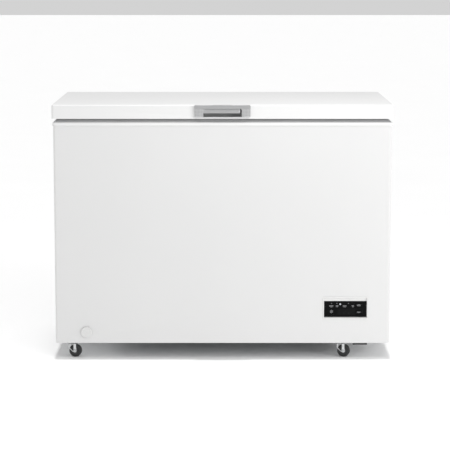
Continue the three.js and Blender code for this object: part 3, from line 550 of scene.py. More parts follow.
def handle_ring(x0, x1, z0, z1, r, y, bowed=0.0, lift=0.0):
    pts = []
    for u, v in rrect(x0, x1, z0, z1, r, 6, 20):
        up = lift * crown(u) * max((v - 835) / (z1 - 835), 0) if v > 835 else 0
        pts.append((u, y + bow(u) * bowed, v + up))
    return pts


H = 91.5


def bow_cap(x0, x1, z0, z1, y):
    """Ring along the middle of a bowed face."""
    k, zm = (z1 - z0) / 2, (z0 + z1) / 2
    return handle_ring(x0 + k, x1 - k, zm - 0.03, zm + 0.03, 0.02, y, 1)


housing = [handle_ring(-67.6, 67.6, 803.8, 833.8, 2, -291)]
housing += [handle_ring(-67.6, 67.6, 803.8, 833.8, 2, -311.2)]
housing += [handle_ring(-H + 0.6, H - 0.6, 803.1, 843.9, 7.2, -311.25)]
for i, h in reversed(round_steps(1.6, 4)):
    housing.append(handle_ring(-H + i, H - i, 802.5 + i, 844.4 - i, 7.8 - i * 0.8, -321.2 + h, 1, 0))
mouth = round_steps(1.4, 4)
for i, h in mouth:
    housing.append(handle_ring(-62.5 - i, 62.5 + i, 806 - i, 831.5 + i, 1.6 + i, -321.2 + h, 1 if h < 1.3 else 0.8))
housing.append(handle_ring(-62.5, 62.5, 806, 831.5, 1.6, -312, 0))
housing.append(handle_ring(-62.3, 62.3, 806.2, 831.3, 3, -297, 0))
housing.append(handle_ring(-61, 61, 807.6, 830, 3, -293.6, 0))
housing.append(handle_ring(-58, 58, 810, 827.5, 3, -292.8, 0))
hdata = solidify_data("handle_shell", loft(housing), 40)
hobj = piece("handle_shell", hdata, M_HANDLE_DOTS, "lid", ("handle_housing",), slot="handle_grey")
hdata.materials.append(M_HANDLE_SLOT)
hdata.materials.append(M_HANDLE_LIP_HIGHLIGHT)
# pocket walls take the inside finish; the strip along the bottom edge takes the painted highlight
for p in hdata.polygons:
    c = p.center * 1000
    if abs(c.x) < 62.6 and 805.9 < c.z < 831.6 and c.y > -318.8:
        p.material_index = 1
    elif c.z < 806.4 and c.y < -312:
        p.material_index = 2
# smooth visor along the top, with the crown in its middle
visor = []
for y, i in [(-311.3, 0.4), (-311.8, 0)] + [(-322.5 + h, i) for i, h in reversed(round_steps(1.3, 4))]:
    visor.append(handle_ring(-H + i, H - i, 833.6 + i * 0.4, 844.5 - i, 2.6, y, 1, 1))
visor.append(bow_cap(-H + 1.3, H - 1.3, 834.1, 843.2, -322.5))
piece("handle_visor", loft(visor), M_HANDLE, "lid", slot="handle_grey", sharp=40)
# dark seam under the visor, and the roll along the bottom edge in a lighter copy of the handle finish: a painted
# highlight
seam = [handle_ring(-H + 0.9, H - 0.9, 832.6, 833.9, 0.3, y, 1) for y in (-321.0, -321.32)]
seam.append(bow_cap(-H + 0.9, H - 0.9, 832.6, 833.9, -321.32))
piece("handle_seam", loft(seam), M_HANDLE_SLOT, "lid", slot="handle_grey", sharp=40)
roll = [handle_ring(-H + 5.2 + i, H - 5.2 - i, 802.8 + i, 806.3 - i, 1.7, y, 1) for y, i in [(-320.6, 0), (-321.2, 0), (-321.55, 0.25), (-321.75, 0.8)]]
roll.append(bow_cap(-H + 6.0, H - 6.0, 803.6, 805.5, -321.75))
piece("handle_roll", loft(roll), M_HANDLE_LIP_HIGHLIGHT, "lid", slot="handle_grey", sharp=40)
# grip plate: a rolled section, a little hollow in the middle
grip_profile = [(-317.4, 831.2), (-318.0, 830.4), (-318.1, 826.5), (-318.2, 822.5), (-318.1, 820.2), (-317.5, 818.4), (-316.3, 817.3), (-314.8, 816.95), (-313.3, 817.2), (-312.2, 818.0), (-311.4, 819.6), (-310.9, 822), (-310.3, 827), (-310.0, 831.2)]
grip_loops = []
for x in [-63.0, -62.2, -61.2, -60, -57.6] + [-60 + 115 * k / 24 for k in range(1, 24)] + [55, 56.2, 56.9, 57.2]:
    s = 1 - 0.35 * max(x - 55, 0) / 2.2
    out = 2.6 * max((-54.5 - x) / 8.5, 0) ** 1.5  # the left end swells out to meet the housing
    grip_loops.append([(x, -314.2 + (y + 314.2) * s - out * (z - 812) / 20, 824 + (z - 824) * (0.97 + 0.03 * s)) for y, z in grip_profile])
piece("handle_grip_bar", loft(grip_loops), M_HANDLE, "lid", ("handle_grip",), sharp=40)


# ------------------------------------------------------------------ cabinet skin
def u_path(o, n=10):
    """U outline at offset o from the skin's outer face: left back, front left, front right, right back."""
    x, y, r = CAB["x"] + o, CAB["y0"] - o, max(CAB["r"] + o, 0.8)
    return [(-x, BACK_IN), (-x, BACK_IN - 40)] + arc(-x + r, y + r, r, 180, 270, n) + arc(x - r, y + r, r, 270, 360, n) + [(x, BACK_IN - 40), (x, BACK_IN)]


skin_profile = [(-1.5, 52.5), (-0.5, 52.5), (-0.12, 52.7), (0, 53.2), (0, 774.4), (0.25, 775.0), (0.9, 775.4), (2.0, 775.5), (2.7, 775.8), (3.0, 776.6), (3.0, 778.4), (2.75, 781.4), (2.2, 784.2), (1.4, 786.2), (0.5, 787.0), (-1.0, 787.0), (-1.5, 786.5)]
skin = Mesh()
lines = [skin.ring([(x, y, z) for x, y in u_path(o)]) for o, z in skin_profile]
for p, q in zip(lines, lines[1:] + lines[:1]):
    skin.bridge(p, q, closed=False)
skin.cap([p[0] for p in lines])
skin.cap([p[-1] for p in lines])
skin_data = carve(
    solidify_data("cabinet_skin", skin),
    [
        block(PANEL["x0"] - 3.3, PANEL["x1"] + 2.4, -320, -295, 135.7, 206.3),
        lathe([(0, -320), (12, -320), (12, -295), (0, -295)], "y", (DRAIN["x"], 0, DRAIN["z"]), 40),
        block(540, 570, VENT["y0"], VENT["y1"], VENT["z0"], VENT["z1"]),
    ],
)
# the lip under the lid carries the painted highlight
highlight_band(piece("cabinet_skin", skin_data, M_ENAMEL, "cabinet", ("outer_shell",)), 0.7783, 0.788)

c_profile = [(1, 787.25), (1.0, 787.6), (10.8, 796.9), (12.0, 797.7), (13.4, 798.0), (50.6, 798.0), (51.6, 797.6), (52, 796.6), (52, LEDGE + 2.2), (52.5, LEDGE + 0.8), (53.8, LEDGE + 0.1), (62.6, LEDGE), (63.6, LEDGE - 0.4), (64, LEDGE - 1.4), (64, LEDGE - 11.6), (63.6, LEDGE - 12),
             (61.9, LEDGE - 12), (61.5, LEDGE - 11.6), (61.5, LEDGE - 2.5), (49.5, LEDGE - 2.5), (49.5, 795.5), (13, 795.5), (4.5, 787.25)]
piece("rim_profile", loft([at(CAB, i, z, max(12 - i * 0.2, 2), 8) for i, z in c_profile], closed=True), M_COLLAR, "cabinet", ("collar_frame",), sharp=28)


def beaded(outline, a, b, plane, beads, height, holes=(), e=0.25, base=None):
    """Sheet from a to b with long pressed beads standing out of its b face by height (which may be negative)."""
    put = PUT[plane]
    m = Mesh()
    steps = round_steps(e, 2)
    s = 1 if b > a else -1
    levels = [(i, a + s * h) for i, h in steps] + [(i, b - s * h) for i, h in reversed(steps)]
    first, last = [], []
    for loop, sign in [(outline, 1)] + [(h, -1) for h in holes]:
        rs = [m.ring([put(u, v, h) for u, v in offset(loop, sign * inset)]) for inset, h in levels]
        for p, q in zip(rs, rs[1:]):
            m.bridge(p, q)
        first.append(rs[0])
        last.append(rs[-1])
    tops = []
    for bead in beads:
        rs = [m.ring([put(u, v, b + s * height * t) for u, v in offset(bead, i)]) for i, t in [(0, 0), (1.0, 0.12), (3.0, 0.78), (4.4, 1.0)]]
        for p, q in zip(rs, rs[1:]):
            m.bridge(p, q)
        m.cap(rs[-1])
        tops.append(rs[0])
    m.cap(first[0], first[1:])
    m.cap(last[0], last[1:] + tops)
    return m


back_beads = [rrect(x - 11, x + 11, 140 if x < 200 else 390, 660, 10.9, 6) for x in (-440, -220, 0, 220)]
piece("back_sheet", beaded(rrect(-552.5, 552.5, 52.5, 787, 1, 2), CAB["y1"] - 1.7, CAB["y1"], "xz", back_beads, 1.6, [rrect(290, 545, 60, 320, 2, 3)]), M_GALV, "cabinet", ("back_panel",), sharp=25)
floor_beads = [rrect(-430, 180, y - 10, y + 10, 9.9, 6) for y in (-170, -60, 50, 160)]
piece("bottom_sheet", beaded(rrect(-552.6, 271.6, -304.6, 294, 7, 4), 54.5, 52.5, "xy", floor_beads, 1.4), M_GALV, "cabinet", ("bottom_panel",), sharp=25)
tray_holes = [circle(x, y, 9, 24) for x in (318, 506) for y in (30, 190)] + [rrect(300 + k * 34, 322 + k * 34, -190, -60, 4, 4) for k in range(6)]
piece("tray_sheet", beaded(rrect(272.2, 552.5, -304.6, 294, 6, 4), 54.5, 52.5, "xy", [rrect(300, 530, -250, -226, 10, 5), rrect(330, 500, 225, 245, 9, 5)], 1.4, tray_holes), M_GALV, "cabinet", ("compressor_tray",), sharp=25)
lip = plate([(-297.0, 44.5), (-289.0, 44.5), (-289.0, 53.2), (-297.0, 53.2)], 433, 481, "yz", e=0.6, k=3)
lip.add(plate([(CAB["y0"] + 1.9, 52.6), (CAB["y1"] - 2.2, 52.6), (CAB["y1"] - 2.2, 74), (CAB["y0"] + 1.9, 74)], 274, 276, "yz", e=0.4, k=2))
piece("tray_flanges", lip, M_BLACK, "cabinet", slot="black_steel")
refine("bay_wall", M_GALV, bevel=0.3)
refine("foam_body", M_FOAM, bevel=0)


# ------------------------------------------------------------------ tub
def tub_outline(off, top, n=10):
    x0, x1, x2, z0, z1, r = -494.5 - off, 222 + off, 494.5 + off, 114.5 - off, 375 - off, 14
    return [(x0, top)] + arc(x0 + r, z0 + r, r, 180, 270, n) + arc(x1 - r, z0 + r, r, 270, 360, n) + arc(x1 + r, z1 - r, r, 180, 90, n) + arc(x2 - r, z1 + r, r, 270, 360, n) + [(x2, top)]


def ccw(pts):
    a = sum(p[0] * q[1] - q[0] * p[1] for p, q in zip(pts, pts[1:] + pts[:1]))
    return pts if a > 0 else pts[::-1]


def prism(outline, a, b, plane):
    put = PUT[plane]
    o = ccw(outline)
    return loft([[put(u, v, a) for u, v in o], [put(u, v, b) for u, v in o]])


tub = solidify_data("tub_skin", prism(tub_outline(1.5, LEDGE - 2.8), -251, 240.5, "xz"))
tub = carve(tub, [prism(tub_outline(0, 790), -249.5, 239, "xz"), lathe([(0, 100), (9, 100), (9, 130), (0, 130)], "z", (DRAIN["x"], DRAIN["y"], 0), 32)])
piece("tub_skin", tub, M_LINER, "cabinet", ("inner_liner",), bevel=0.3, angle=50)
# sealing beads along the upright folds of the tub, and the moulding round the drain hole
beads = Mesh()
for x, z0 in ((-493.6, 126), (493.6, 387)):
    for y in (-248.6, 238.1):
        tube([(x, y, z0), (x, y, 768)], 1.6, 8, beads)
for y in (-248.6, 238.1):
    tube(fillet([(-493.4, y, 130), (-493.4, y, 115.6), (221, y, 115.6), (221, y, 376), (493.4, y, 376), (493.4, y, 390)], 14, 5), 1.5, 8, beads)
piece("tub_sealant", beads, M_GASKET, "cabinet", slot="gasket", sharp=60)
ring = lathe([(9.2, 114.3), (9.2, 115.1), (10, 115.7), (20, 115.7), (21.6, 115.2), (22, 114.6), (22, 114.3)], "z", (DRAIN["x"], DRAIN["y"], 0), 40, closed=True)
piece("drain_collar", ring, M_PLASTIC, "cabinet", slot="white_plastic")


# ------------------------------------------------------------------ control panel
def pr(x0, x1, z0, z1, r, y, n=5):
    return [(u, y, v) for u, v in rrect(x0, x1, z0, z1, r, n)]


X0, X1, Z0, Z1 = PANEL["x0"], PANEL["x1"], PANEL["z0"], PANEL["z1"]
bz = []
for i, h in round_steps(0.9, 4):
    bz.append(pr(X0 - 5.7 + i, X1 + 4.8 - i, 133 + i, 209 - i, 3.2, -308 + h))
bz = bz[::-1]
bz = [pr(X0 - 5.7, X1 + 4.8, 133, 209, 3.2, -306.75)] + bz
for i, h in round_steps(0.8, 3):
    bz.append(pr(X0 - 1.4 - i, X1 + 1.4 + i, 137.6 - i, 204.8 + i, 1.8, -308 + h))
bz.append(pr(X0 - 1.2, X1 + 1.2, 137.8, 204.4, 1.6, -303.4))
bz.append(pr(X0 - 0.7, X1 + 0.7, 138.2, 199.4, 1.2, -302.2))
bz.append(pr(X0 - 0.35, X1 + 0.35, Z0 - 0.35, Z1 + 0.35, 0.8, -299.3))
bz.append(pr(X0 - 0.35, X1 + 0.35, Z0 - 0.35, Z1 + 0.35, 0.8, -289.6))
bz.append(pr(X0 - 2.9, X1 + 2.0, 136.1, 205.9, 1.2, -289.6))
bz.append(pr(X0 - 2.9, X1 + 2.0, 136.1, 205.9, 1.2, -306.6))
piece("panel_frame", loft(bz, closed=True), M_PLASTIC, "cabinet", ("panel_bezel",), sharp=28)

holes = [rrect(x - 12.35, x + 12.35, z - 6.35, z + 6.35, 2.4, 6) for x, z in BUTTONS.values()]
piece("panel_window", plate(rrect(X0, X1, Z0, Z1, 0.6, 3), -299.0, -296.4, "xz", holes, e=0.25, k=3), M_PANEL, "cabinet", ("panel_display",))
piece("digit_window", plate(rrect(382, 441, 146.5, 170, 1.6, 5), -299.12, -298.8, "xz", e=0.1, k=2), M_SMOKE, "cabinet", slot="panel_black")


def star(cx, cz, r, w):
    """Six-armed frost mark."""
    m = Mesh()
    for k in range(3):
        t = math.radians(60 * k + 30)
        d, s = Vector((math.cos(t), math.sin(t))), Vector((-math.sin(t), math.cos(t)))
        for off in (0.0,):
            c = Vector((cx, cz))
            pts = [c + d * r + s * w, c - d * r + s * w, c - d * r - s * w, c + d * r - s * w]
            m.add(plate(ccw([tuple(p) for p in pts]), -299.2, -298.9, "xz", e=0.06, k=1))
        for end in (1, -1):
            tip = Vector((cx, cz)) + d * end * r * 0.66
            for lean in (1, -1):
                a = math.radians(60 * k + 30 + lean * 55) if end > 0 else math.radians(60 * k + 210 + lean * 55)
                q = Vector((math.cos(a), math.sin(a))) * r * 0.38
                n = Vector((-q.y, q.x)).normalized() * w * 0.8
                pts = [tip + n, tip - n, tip + q - n, tip + q + n]
                m.add(plate(ccw([tuple(p) for p in pts]), -299.2, -298.9, "xz", e=0.06, k=1))
    return m


def mark(x, z, w, h, r=None):
    return plate(rrect(x - w / 2, x + w / 2, z - h / 2, z + h / 2, r or min(w, h) * 0.45, 4), -299.2, -298.9, "xz", e=0.06, k=1)


marks = Mesh()
for x, w in ((361.0, 13.5), (380.2, 8.6), (405.0, 12.5), (432.5, 8.0)):
    marks.add(mark(x, 176.2, w, 2.6, 0.8))
    marks.add(mark(x, 172.6, w * 0.62, 1.1, 0.4))
marks.add(star(361.6, 157.4, 5.4, 0.62))
piece("panel_print", marks, M_PRINT, "cabinet", slot="panel_black")
dim = Mesh()
for x in (361.6, 379.4, 418.0):
    dim.add(lathe([(0, -299.35), (1.5, -299.3), (1.9, -299.1), (1.9, -298.9), (0, -298.9)], "y", (x, 0, 184.6), 20))
piece("panel_leds", dim, M_PRINT_DIM, "cabinet", slot="panel_black")
piece("panel_led_lit", lathe([(0, -299.5), (2.1, -299.4), (2.9, -299.1), (2.9, -298.9), (0, -298.9)], "y", (390.4, 0, 182.2), 24), M_LED, "cabinet", slot="panel_black")
for name, (x, z) in BUTTONS.items():
    cap = loft([pr(x - 12 + i, x + 12 - i, z - 6 + i, z + 6 - i, 2.2, y) for i, y in [(0.2, -295.8), (0, -296), (0, -298.9), (0.12, -299.2), (0.5, -299.38), (1.4, -299.42), (3.4, -299.34)]])
    piece(name + "_cap", cap, M_PANEL, name, (name,), sharp=40)
    sign = Mesh()
    if name.endswith("set"):
        sign.add(plate(rrect(x - 6.6, x + 6.6, z - 0.9, z + 0.9, 0.7, 4), -299.52, -299.3, "xz", e=0.06, k=1))
        sign.add(plate(rrect(x - 4.2, x + 4.2, z + 2.0, z + 3.0, 0.4, 3), -299.52, -299.3, "xz", e=0.06, k=1))
        sign.add(plate(rrect(x - 5.2, x + 5.2, z - 3.1, z - 2.1, 0.4, 3), -299.52, -299.3, "xz", e=0.06, k=1))
    else:
        sign.add(plate(rrect(x - 6.2, x + 6.2, z - 0.8, z + 0.8, 0.7, 4), -299.52, -299.3, "xz", e=0.06, k=1))
        sign.add(plate(rrect(x - 3.4, x + 3.4, z - 2.9, z - 2.0, 0.4, 3), -299.52, -299.3, "xz", e=0.06, k=1))
    piece(name + "_mark", sign, M_PRINT, name, slot="panel_black")
refine("control_board", M_BOARD, bevel=0.3)
parts = Mesh()
for x, z, w, h, d in ((352, 150, 12, 9, 3), (372, 160, 8, 14, 2.4), (395, 148, 16, 6, 3.4), (420, 182, 10, 10, 3.8), (440, 150, 9, 7, 2.5), (465, 150, 7, 12, 3)):
    parts.add(block(x - w / 2, x + w / 2, -286, -286 + d, z - h / 2, z + h / 2, 0.3))
piece("board_parts", parts, M_BLACK_PLASTIC, "cabinet", slot="black_plastic")

# ------------------------------------------------------------------ drain
cap_profile = [(0, -306.8), (17.9, -306.8), (18.5, -307.0), (18.8, -307.5), (18.8, -309.6), (18.5, -310.4), (17.7, -311.2), (16.2, -311.75), (14.4, -312.0), (13.6, -311.9), (13.0, -311.65), (12.2, -311.7), (9, -312.45), (5, -312.9), (3.2, -312.95), (2.6, -312.6), (2.0, -312.5), (0, -312.5)]
cap = lathe(cap_profile, "y", (DRAIN["x"], 0, DRAIN["z"]), 56)
cap.add(lathe([(0, -306.9), (7.9, -306.9), (7.9, -303.5), (7.5, -303), (7.5, -300.5), (7.9, -300), (7.9, -296), (7.4, -295), (7.4, -284), (6.4, -282.6), (0, -282.5)], "y", (DRAIN["x"], 0, DRAIN["z"]), 32))
piece("drain_cap_form", cap, M_CAP, "drain_cap", ("drain_cap",), sharp=40)
plug = lathe([(0, 114.8), (15.4, 114.8), (16, 115.2), (16, 116.6), (15.2, 117.4), (8.2, 117.7), (6.6, 118.4), (5.2, 120), (5.4, 122), (6.5, 123.1), (6.2, 123.5), (0, 123.5)], "z", (DRAIN["x"], DRAIN["y"], 0), 40)
plug.add(lathe([(0, 100), (6.9, 100), (7.6, 101.2), (7.6, 104), (7.2, 104.5), (7.2, 107), (7.6, 107.5), (7.6, 114.9), (0, 114.9)], "z", (DRAIN["x"], DRAIN["y"], 0), 32))
piece("drain_plug_form", plug, M_PLASTIC, "drain_plug", ("drain_plug",), sharp=40)
refine("drain_tube", M_PLASTIC, bevel=0.3)

# ------------------------------------------------------------------ screws
SCREW = Mesh()
cross = [(-2.3, -0.45), (-0.45, -0.45), (-0.45, -2.3), (0.45, -2.3), (0.45, -0.45), (2.3, -0.45), (2.3, 0.45), (0.45, 0.45), (0.45, 2.3), (-0.45, 2.3), (-0.45, 0.45), (-2.3, 0.45)]
outer_r = [(4.0, 0.25), (4.0, 0.9), (3.75, 1.5), (3.2, 2.0)]
rs = [SCREW.ring([(r * math.cos(2 * math.pi * i / 24), r * math.sin(2 * math.pi * i / 24), h) for i in range(24)]) for r, h in [(3.6, 0.0)] + outer_r + [(2.7, 2.2)]]
for p, q in zip(rs, rs[1:]):
    SCREW.bridge(p, q)
SCREW.cap(rs[0])
ct, cb = SCREW.ring([(x, y, 2.2) for x, y in cross]), SCREW.ring([(x * 0.8, y * 0.8, 1.0) for x, y in cross])
SCREW.cap(rs[-1], [ct])
SCREW.bridge(ct, cb)
SCREW.cap(cb)


def facing(n):
    """Rotation that takes +Z to n."""
    return Vector((0, 0, 1)).rotation_difference(Vector(n)).to_matrix().to_4x4()


def screws(name, spots, body, scale=1.0, mat=None):
    m = Mesh()
    for k, (p, n) in enumerate(spots):
        m.add(SCREW, Matrix.Translation(p) @ facing(n) @ Matrix.Rotation(0.7 * k + 0.3, 4, "Z") @ Matrix.Diagonal((scale, scale, scale, 1)))
    return piece(name, m, mat or M_STEEL, body, slot="steel", sharp=30)


# ------------------------------------------------------------------ hinges
for side, s in (("left", -1), ("right", 1)):
    cx = s * HINGE["x"]
    refine("hinge_base_" + side, M_ZINC, bevel=0.45)
    refine("hinge_arm_" + side, M_ZINC, bevel=0.4)
    refine("hinge_pin_" + side, M_STEEL, bevel=0.5)
    coil = [(cx - 8.2 + 16.4 * i / 150, HINGE["y"] + 5.7 * math.cos(2 * math.pi * i / 20), HINGE["z"] + 5.7 * math.sin(2 * math.pi * i / 20)) for i in range(151)]
    piece("hinge_coil_" + side, tube(coil, 1.05, 10), M_STEEL, "cabinet", ("hinge_spring_" + side,), sharp=60)
    base_spots = [((cx + dx, 298.8, z), (0, 1, 0)) for dx in (-20, 20) for z in (706, 738)] + [((cx, 298.8, 772), (0, 1, 0))]
    screws("hinge_base_screws_" + side, base_spots, "cabinet")
    screws("hinge_arm_screws_" + side, [((cx + dx, 301.8, 826), (0, 1, 0)) for dx in (-22, 0, 22)], "lid")

# ------------------------------------------------------------------ rear cover and side vent
slots = [rrect(COVER["x0"] + 30, COVER["x1"] - 30, COVER["z0"] + 75 + i * 20, COVER["z0"] + 82 + i * 20, 3.4, 5) for i in range(8)]
gland_hole = circle(COVER["x0"] + 30, COVER["z0"] + 26, 8, 28)
cover = plate(rrect(COVER["x0"] - 9, COVER["x1"] + 6, COVER["z0"] - 5, COVER["z1"] + 9, 4, 5), CAB["y1"] + 0.3, CAB["y1"] + 1.8, "xz", slots + [gland_hole], e=0.35, k=2)
for i in range(8):
    z = COVER["z0"] + 82 + i * 20
    hood = [(297.6, z + 2.6), (299.4, z + 1.9), (300.7, z + 0.2), (301.2, z - 2.2), (301.2, z - 4.6), (300.5, z - 4.6), (300.4, z - 2.2), (299.9, z - 0.2), (298.9, z + 1.0), (297.6, z + 1.4)]
    xs = [(COVER["x0"] + 29, 0.5), (COVER["x0"] + 31, 0.9), (COVER["x0"] + 34, 1.0), (COVER["x1"] - 34, 1.0), (COVER["x1"] - 31, 0.9), (COVER["x1"] - 29, 0.5)]
    cover.add(loft([[(x, 297.6 + (y - 297.6) * k, zz) for y, zz in hood] for x, k in xs]))
piece("rear_cover_form", cover, M_GALV, "cabinet", ("rear_cover",), sharp=30)
screws("rear_cover_screws", [((x, 297.8, z), (0, 1, 0)) for x in (286, 417, 546.5) for z in (61, 190, 323) if not (x == 417 and z == 190)], "cabinet")
screws("back_sheet_screws", [((x, 296.0, z), (0, 1, 0)) for x in (-545, -272, 0, 200) for z in (62,)] + [((x, 296.0, z), (0, 1, 0)) for x in (-546, 546) for z in (420, 600, 760)] + [((x, 296.0, 779), (0, 1, 0)) for x in (-500, -250, 0, 250, 500)], "cabinet", 0.9)
refine("cord_gland", M_BLACK_PLASTIC, bevel=0.5)

grille = plate(rrect(VENT["y0"] - 9, VENT["y1"] + 9, VENT["z0"] - 9, VENT["z1"] + 9, 7, 6), CAB["x"] + 0.3, CAB["x"] + 3.3, "yz", [rrect(VENT["y0"] + 4, VENT["y1"] - 4, VENT["z0"] + 4, VENT["z1"] - 4, 4, 5)], e=1.0, k=4)
for i in range(10):
    z = VENT["z0"] + 10 + i * 16.6
    slat = [(CAB["x"] - 7.0, z + 6.2), (CAB["x"] - 6.4, z + 7.2), (CAB["x"] + 2.2, z + 1.4), (CAB["x"] + 2.5, z + 0.6), (CAB["x"] + 2.3, z - 0.4), (CAB["x"] + 1.6, z - 0.5)]
    grille.add(loft([[(x, y, zz) for x, zz in slat] for y in (VENT["y0"] + 3.2, VENT["y1"] - 3.2)]))
for y in (VENT["y0"] + 60, VENT["y1"] - 60):
    grille.add(block(CAB["x"] - 6.5, CAB["x"] - 4.5, y - 1.2, y + 1.2, VENT["z0"] + 3.5, VENT["z1"] - 3.5, 0.4))
piece("side_grille_form", grille, M_PLASTIC, "cabinet", ("side_vent_grille",), sharp=30)
screws("side_grille_screws", [((CAB["x"] + 3.3, y, z), (1, 0, 0)) for y in (VENT["y0"] - 2.5, VENT["y1"] + 2.5) for z in (VENT["z0"] - 2, VENT["z1"] + 2)], "cabinet", 0.8)

# ------------------------------------------------------------------ machine bay
refine("compressor", M_BLACK, bevel=0.9, segments=3, sharp=40)
refine("relay_cover", M_BLACK_PLASTIC, bevel=2.0, segments=3)
for n in ("evaporator_coil", "capillary_tube"):
    refine(n, M_COPPER, bevel=0, sharp=70, dissolve=False)
refine("condenser_coil", M_BLACK, bevel=0, sharp=70, dissolve=False)
refine("filter_drier", M_GRIT, bevel=0.5, sharp=40)
feet = Mesh()
for a in (-92, 92):
    for b in (-62, 62):
        feet.add(lathe([(8.3, 54.9), (12, 54.9), (13.2, 56), (13.2, 58.4), (11, 60), (11, 63), (13.2, 64.5), (13.2, 65.6), (8.3, 65.6)], "z", (412 + a, 110 + b, 0), 24, closed=True))
piece("compressor_grommets", feet, M_TYRE, "cabinet", slot="rubber", sharp=45)
pipes = Mesh()
tube(fillet([(412 - 30, 110 - 66, 130), (412 - 44, 110 - 92, 130), (412 - 44, 110 - 92, 205), (412 - 44, 110 - 60, 214)], 10, 5), 3.2, 10, pipes)
piece("service_tube", pipes, M_COPPER, "cabinet", slot="copper", sharp=60)
loom = Mesh()
tube(fillet([(400, 32, 165), (400, 10, 190), (360, -20, 230), (345, -120, 250), (345, -240, 220), (360, -284, 180)], 30, 8), 2.6, 8, loom)
tube(fillet([(424, 0, 92), (424, -8, 66), (424, 30, 60), (330, 60, 58.5), (322, 200, 58.5), (320, 270, 62), (320, 288, 86)], 20, 8), 3.0, 8, loom)
piece("wire_loom", loom, M_BLACK_PLASTIC, "cabinet", slot="black_plastic", sharp=60)


# ------------------------------------------------------------------ basket
bx0, bx1, by0, by1, bz0, rim = BASKET["x0"], BASKET["x1"], BASKET["y0"], BASKET["y1"], BASKET["z0"], BASKET["rim"]
xm, zt = (bx0 + bx1) / 2, rim + 1.9
W = 1.45


def rods(name, node, lines, r=W):
    m = Mesh()
    for pts, rad in lines:
        tube(pts, rad or r, 8, m)
    return piece(name, m, M_WIRE, "basket", (node,), sharp=60)


ys = [by0 + 3.5 + (by1 - by0 - 7) * k / 18 for k in range(19)]
xs = [bx0 + 3.5 + (bx1 - bx0 - 7) * k / 10 for k in range(11)]
for tag, x in (("left", bx0 + 1.6), ("right", bx1 - 1.6)):
    s = 1 if tag == "left" else -1
    lines = [([(x, y, bz0 + 2.2), (x, y, zt - 1)], None) for y in ys[1:-1]]
    lines += [([(x + s * 2.4, by0 + 4, z), (x + s * 2.4, by1 - 4, z)], 1.7) for z in (bz0 + 60, bz0 + 130)]
    rods("basket_side_" + tag, "basket_wall_" + tag, lines)
for tag, y in (("front", by0 + 1.6), ("back", by1 - 1.6)):
    s = 1 if tag == "front" else -1
    lines = [([(x, y, bz0 + 2.2), (x, y, zt - 1)], None) for x in xs[1:-1]]
    lines += [([(bx0 + 4, y + s * 2.4, z), (bx1 - 4, y + s * 2.4, z)], 1.7) for z in (bz0 + 60, bz0 + 130)]
    for c in (bx0 + 60, bx1 - 60):
        lines.append((fillet([(c - 28, y, zt - 3), (c - 28, y - s * 13, rim + 1.9), (c + 28, y - s * 13, rim + 1.9), (c + 28, y, zt - 3)], 6, 5), 1.8))
    rods("basket_end_" + tag, "basket_wall_" + tag, lines)
lines = [(fillet([(bx0 + 4, y, bz0 + 6), (bx0 + 4, y, bz0 + 1.7), (bx1 - 4, y, bz0 + 1.7), (bx1 - 4, y, bz0 + 6)], 3, 3), None) for y in ys]
lines += [([(x, by0 + 4, bz0 + 4.2), (x, by1 - 4, bz0 + 4.2)], 1.8) for x in (bx0 + 46, xm, bx1 - 46)]
rods("basket_base", "basket_floor", lines)
frame_wire = Mesh()
loop = [(u, v, zt - 0.8) for u, v in rrect(bx0 + 1.8, bx1 - 1.8, by0 + 1.8, by1 - 1.8, 10, 6)]
tube(loop + loop[:2], 2.3, 10, frame_wire, False)
low = [(u, v, bz0 + 2.2) for u, v in rrect(bx0 + 1.8, bx1 - 1.8, by0 + 1.8, by1 - 1.8, 10, 6)]
tube(low + low[:2], 1.9, 10, frame_wire, False)
piece("basket_rim", frame_wire, M_WIRE, "basket", slot="wire", sharp=60)

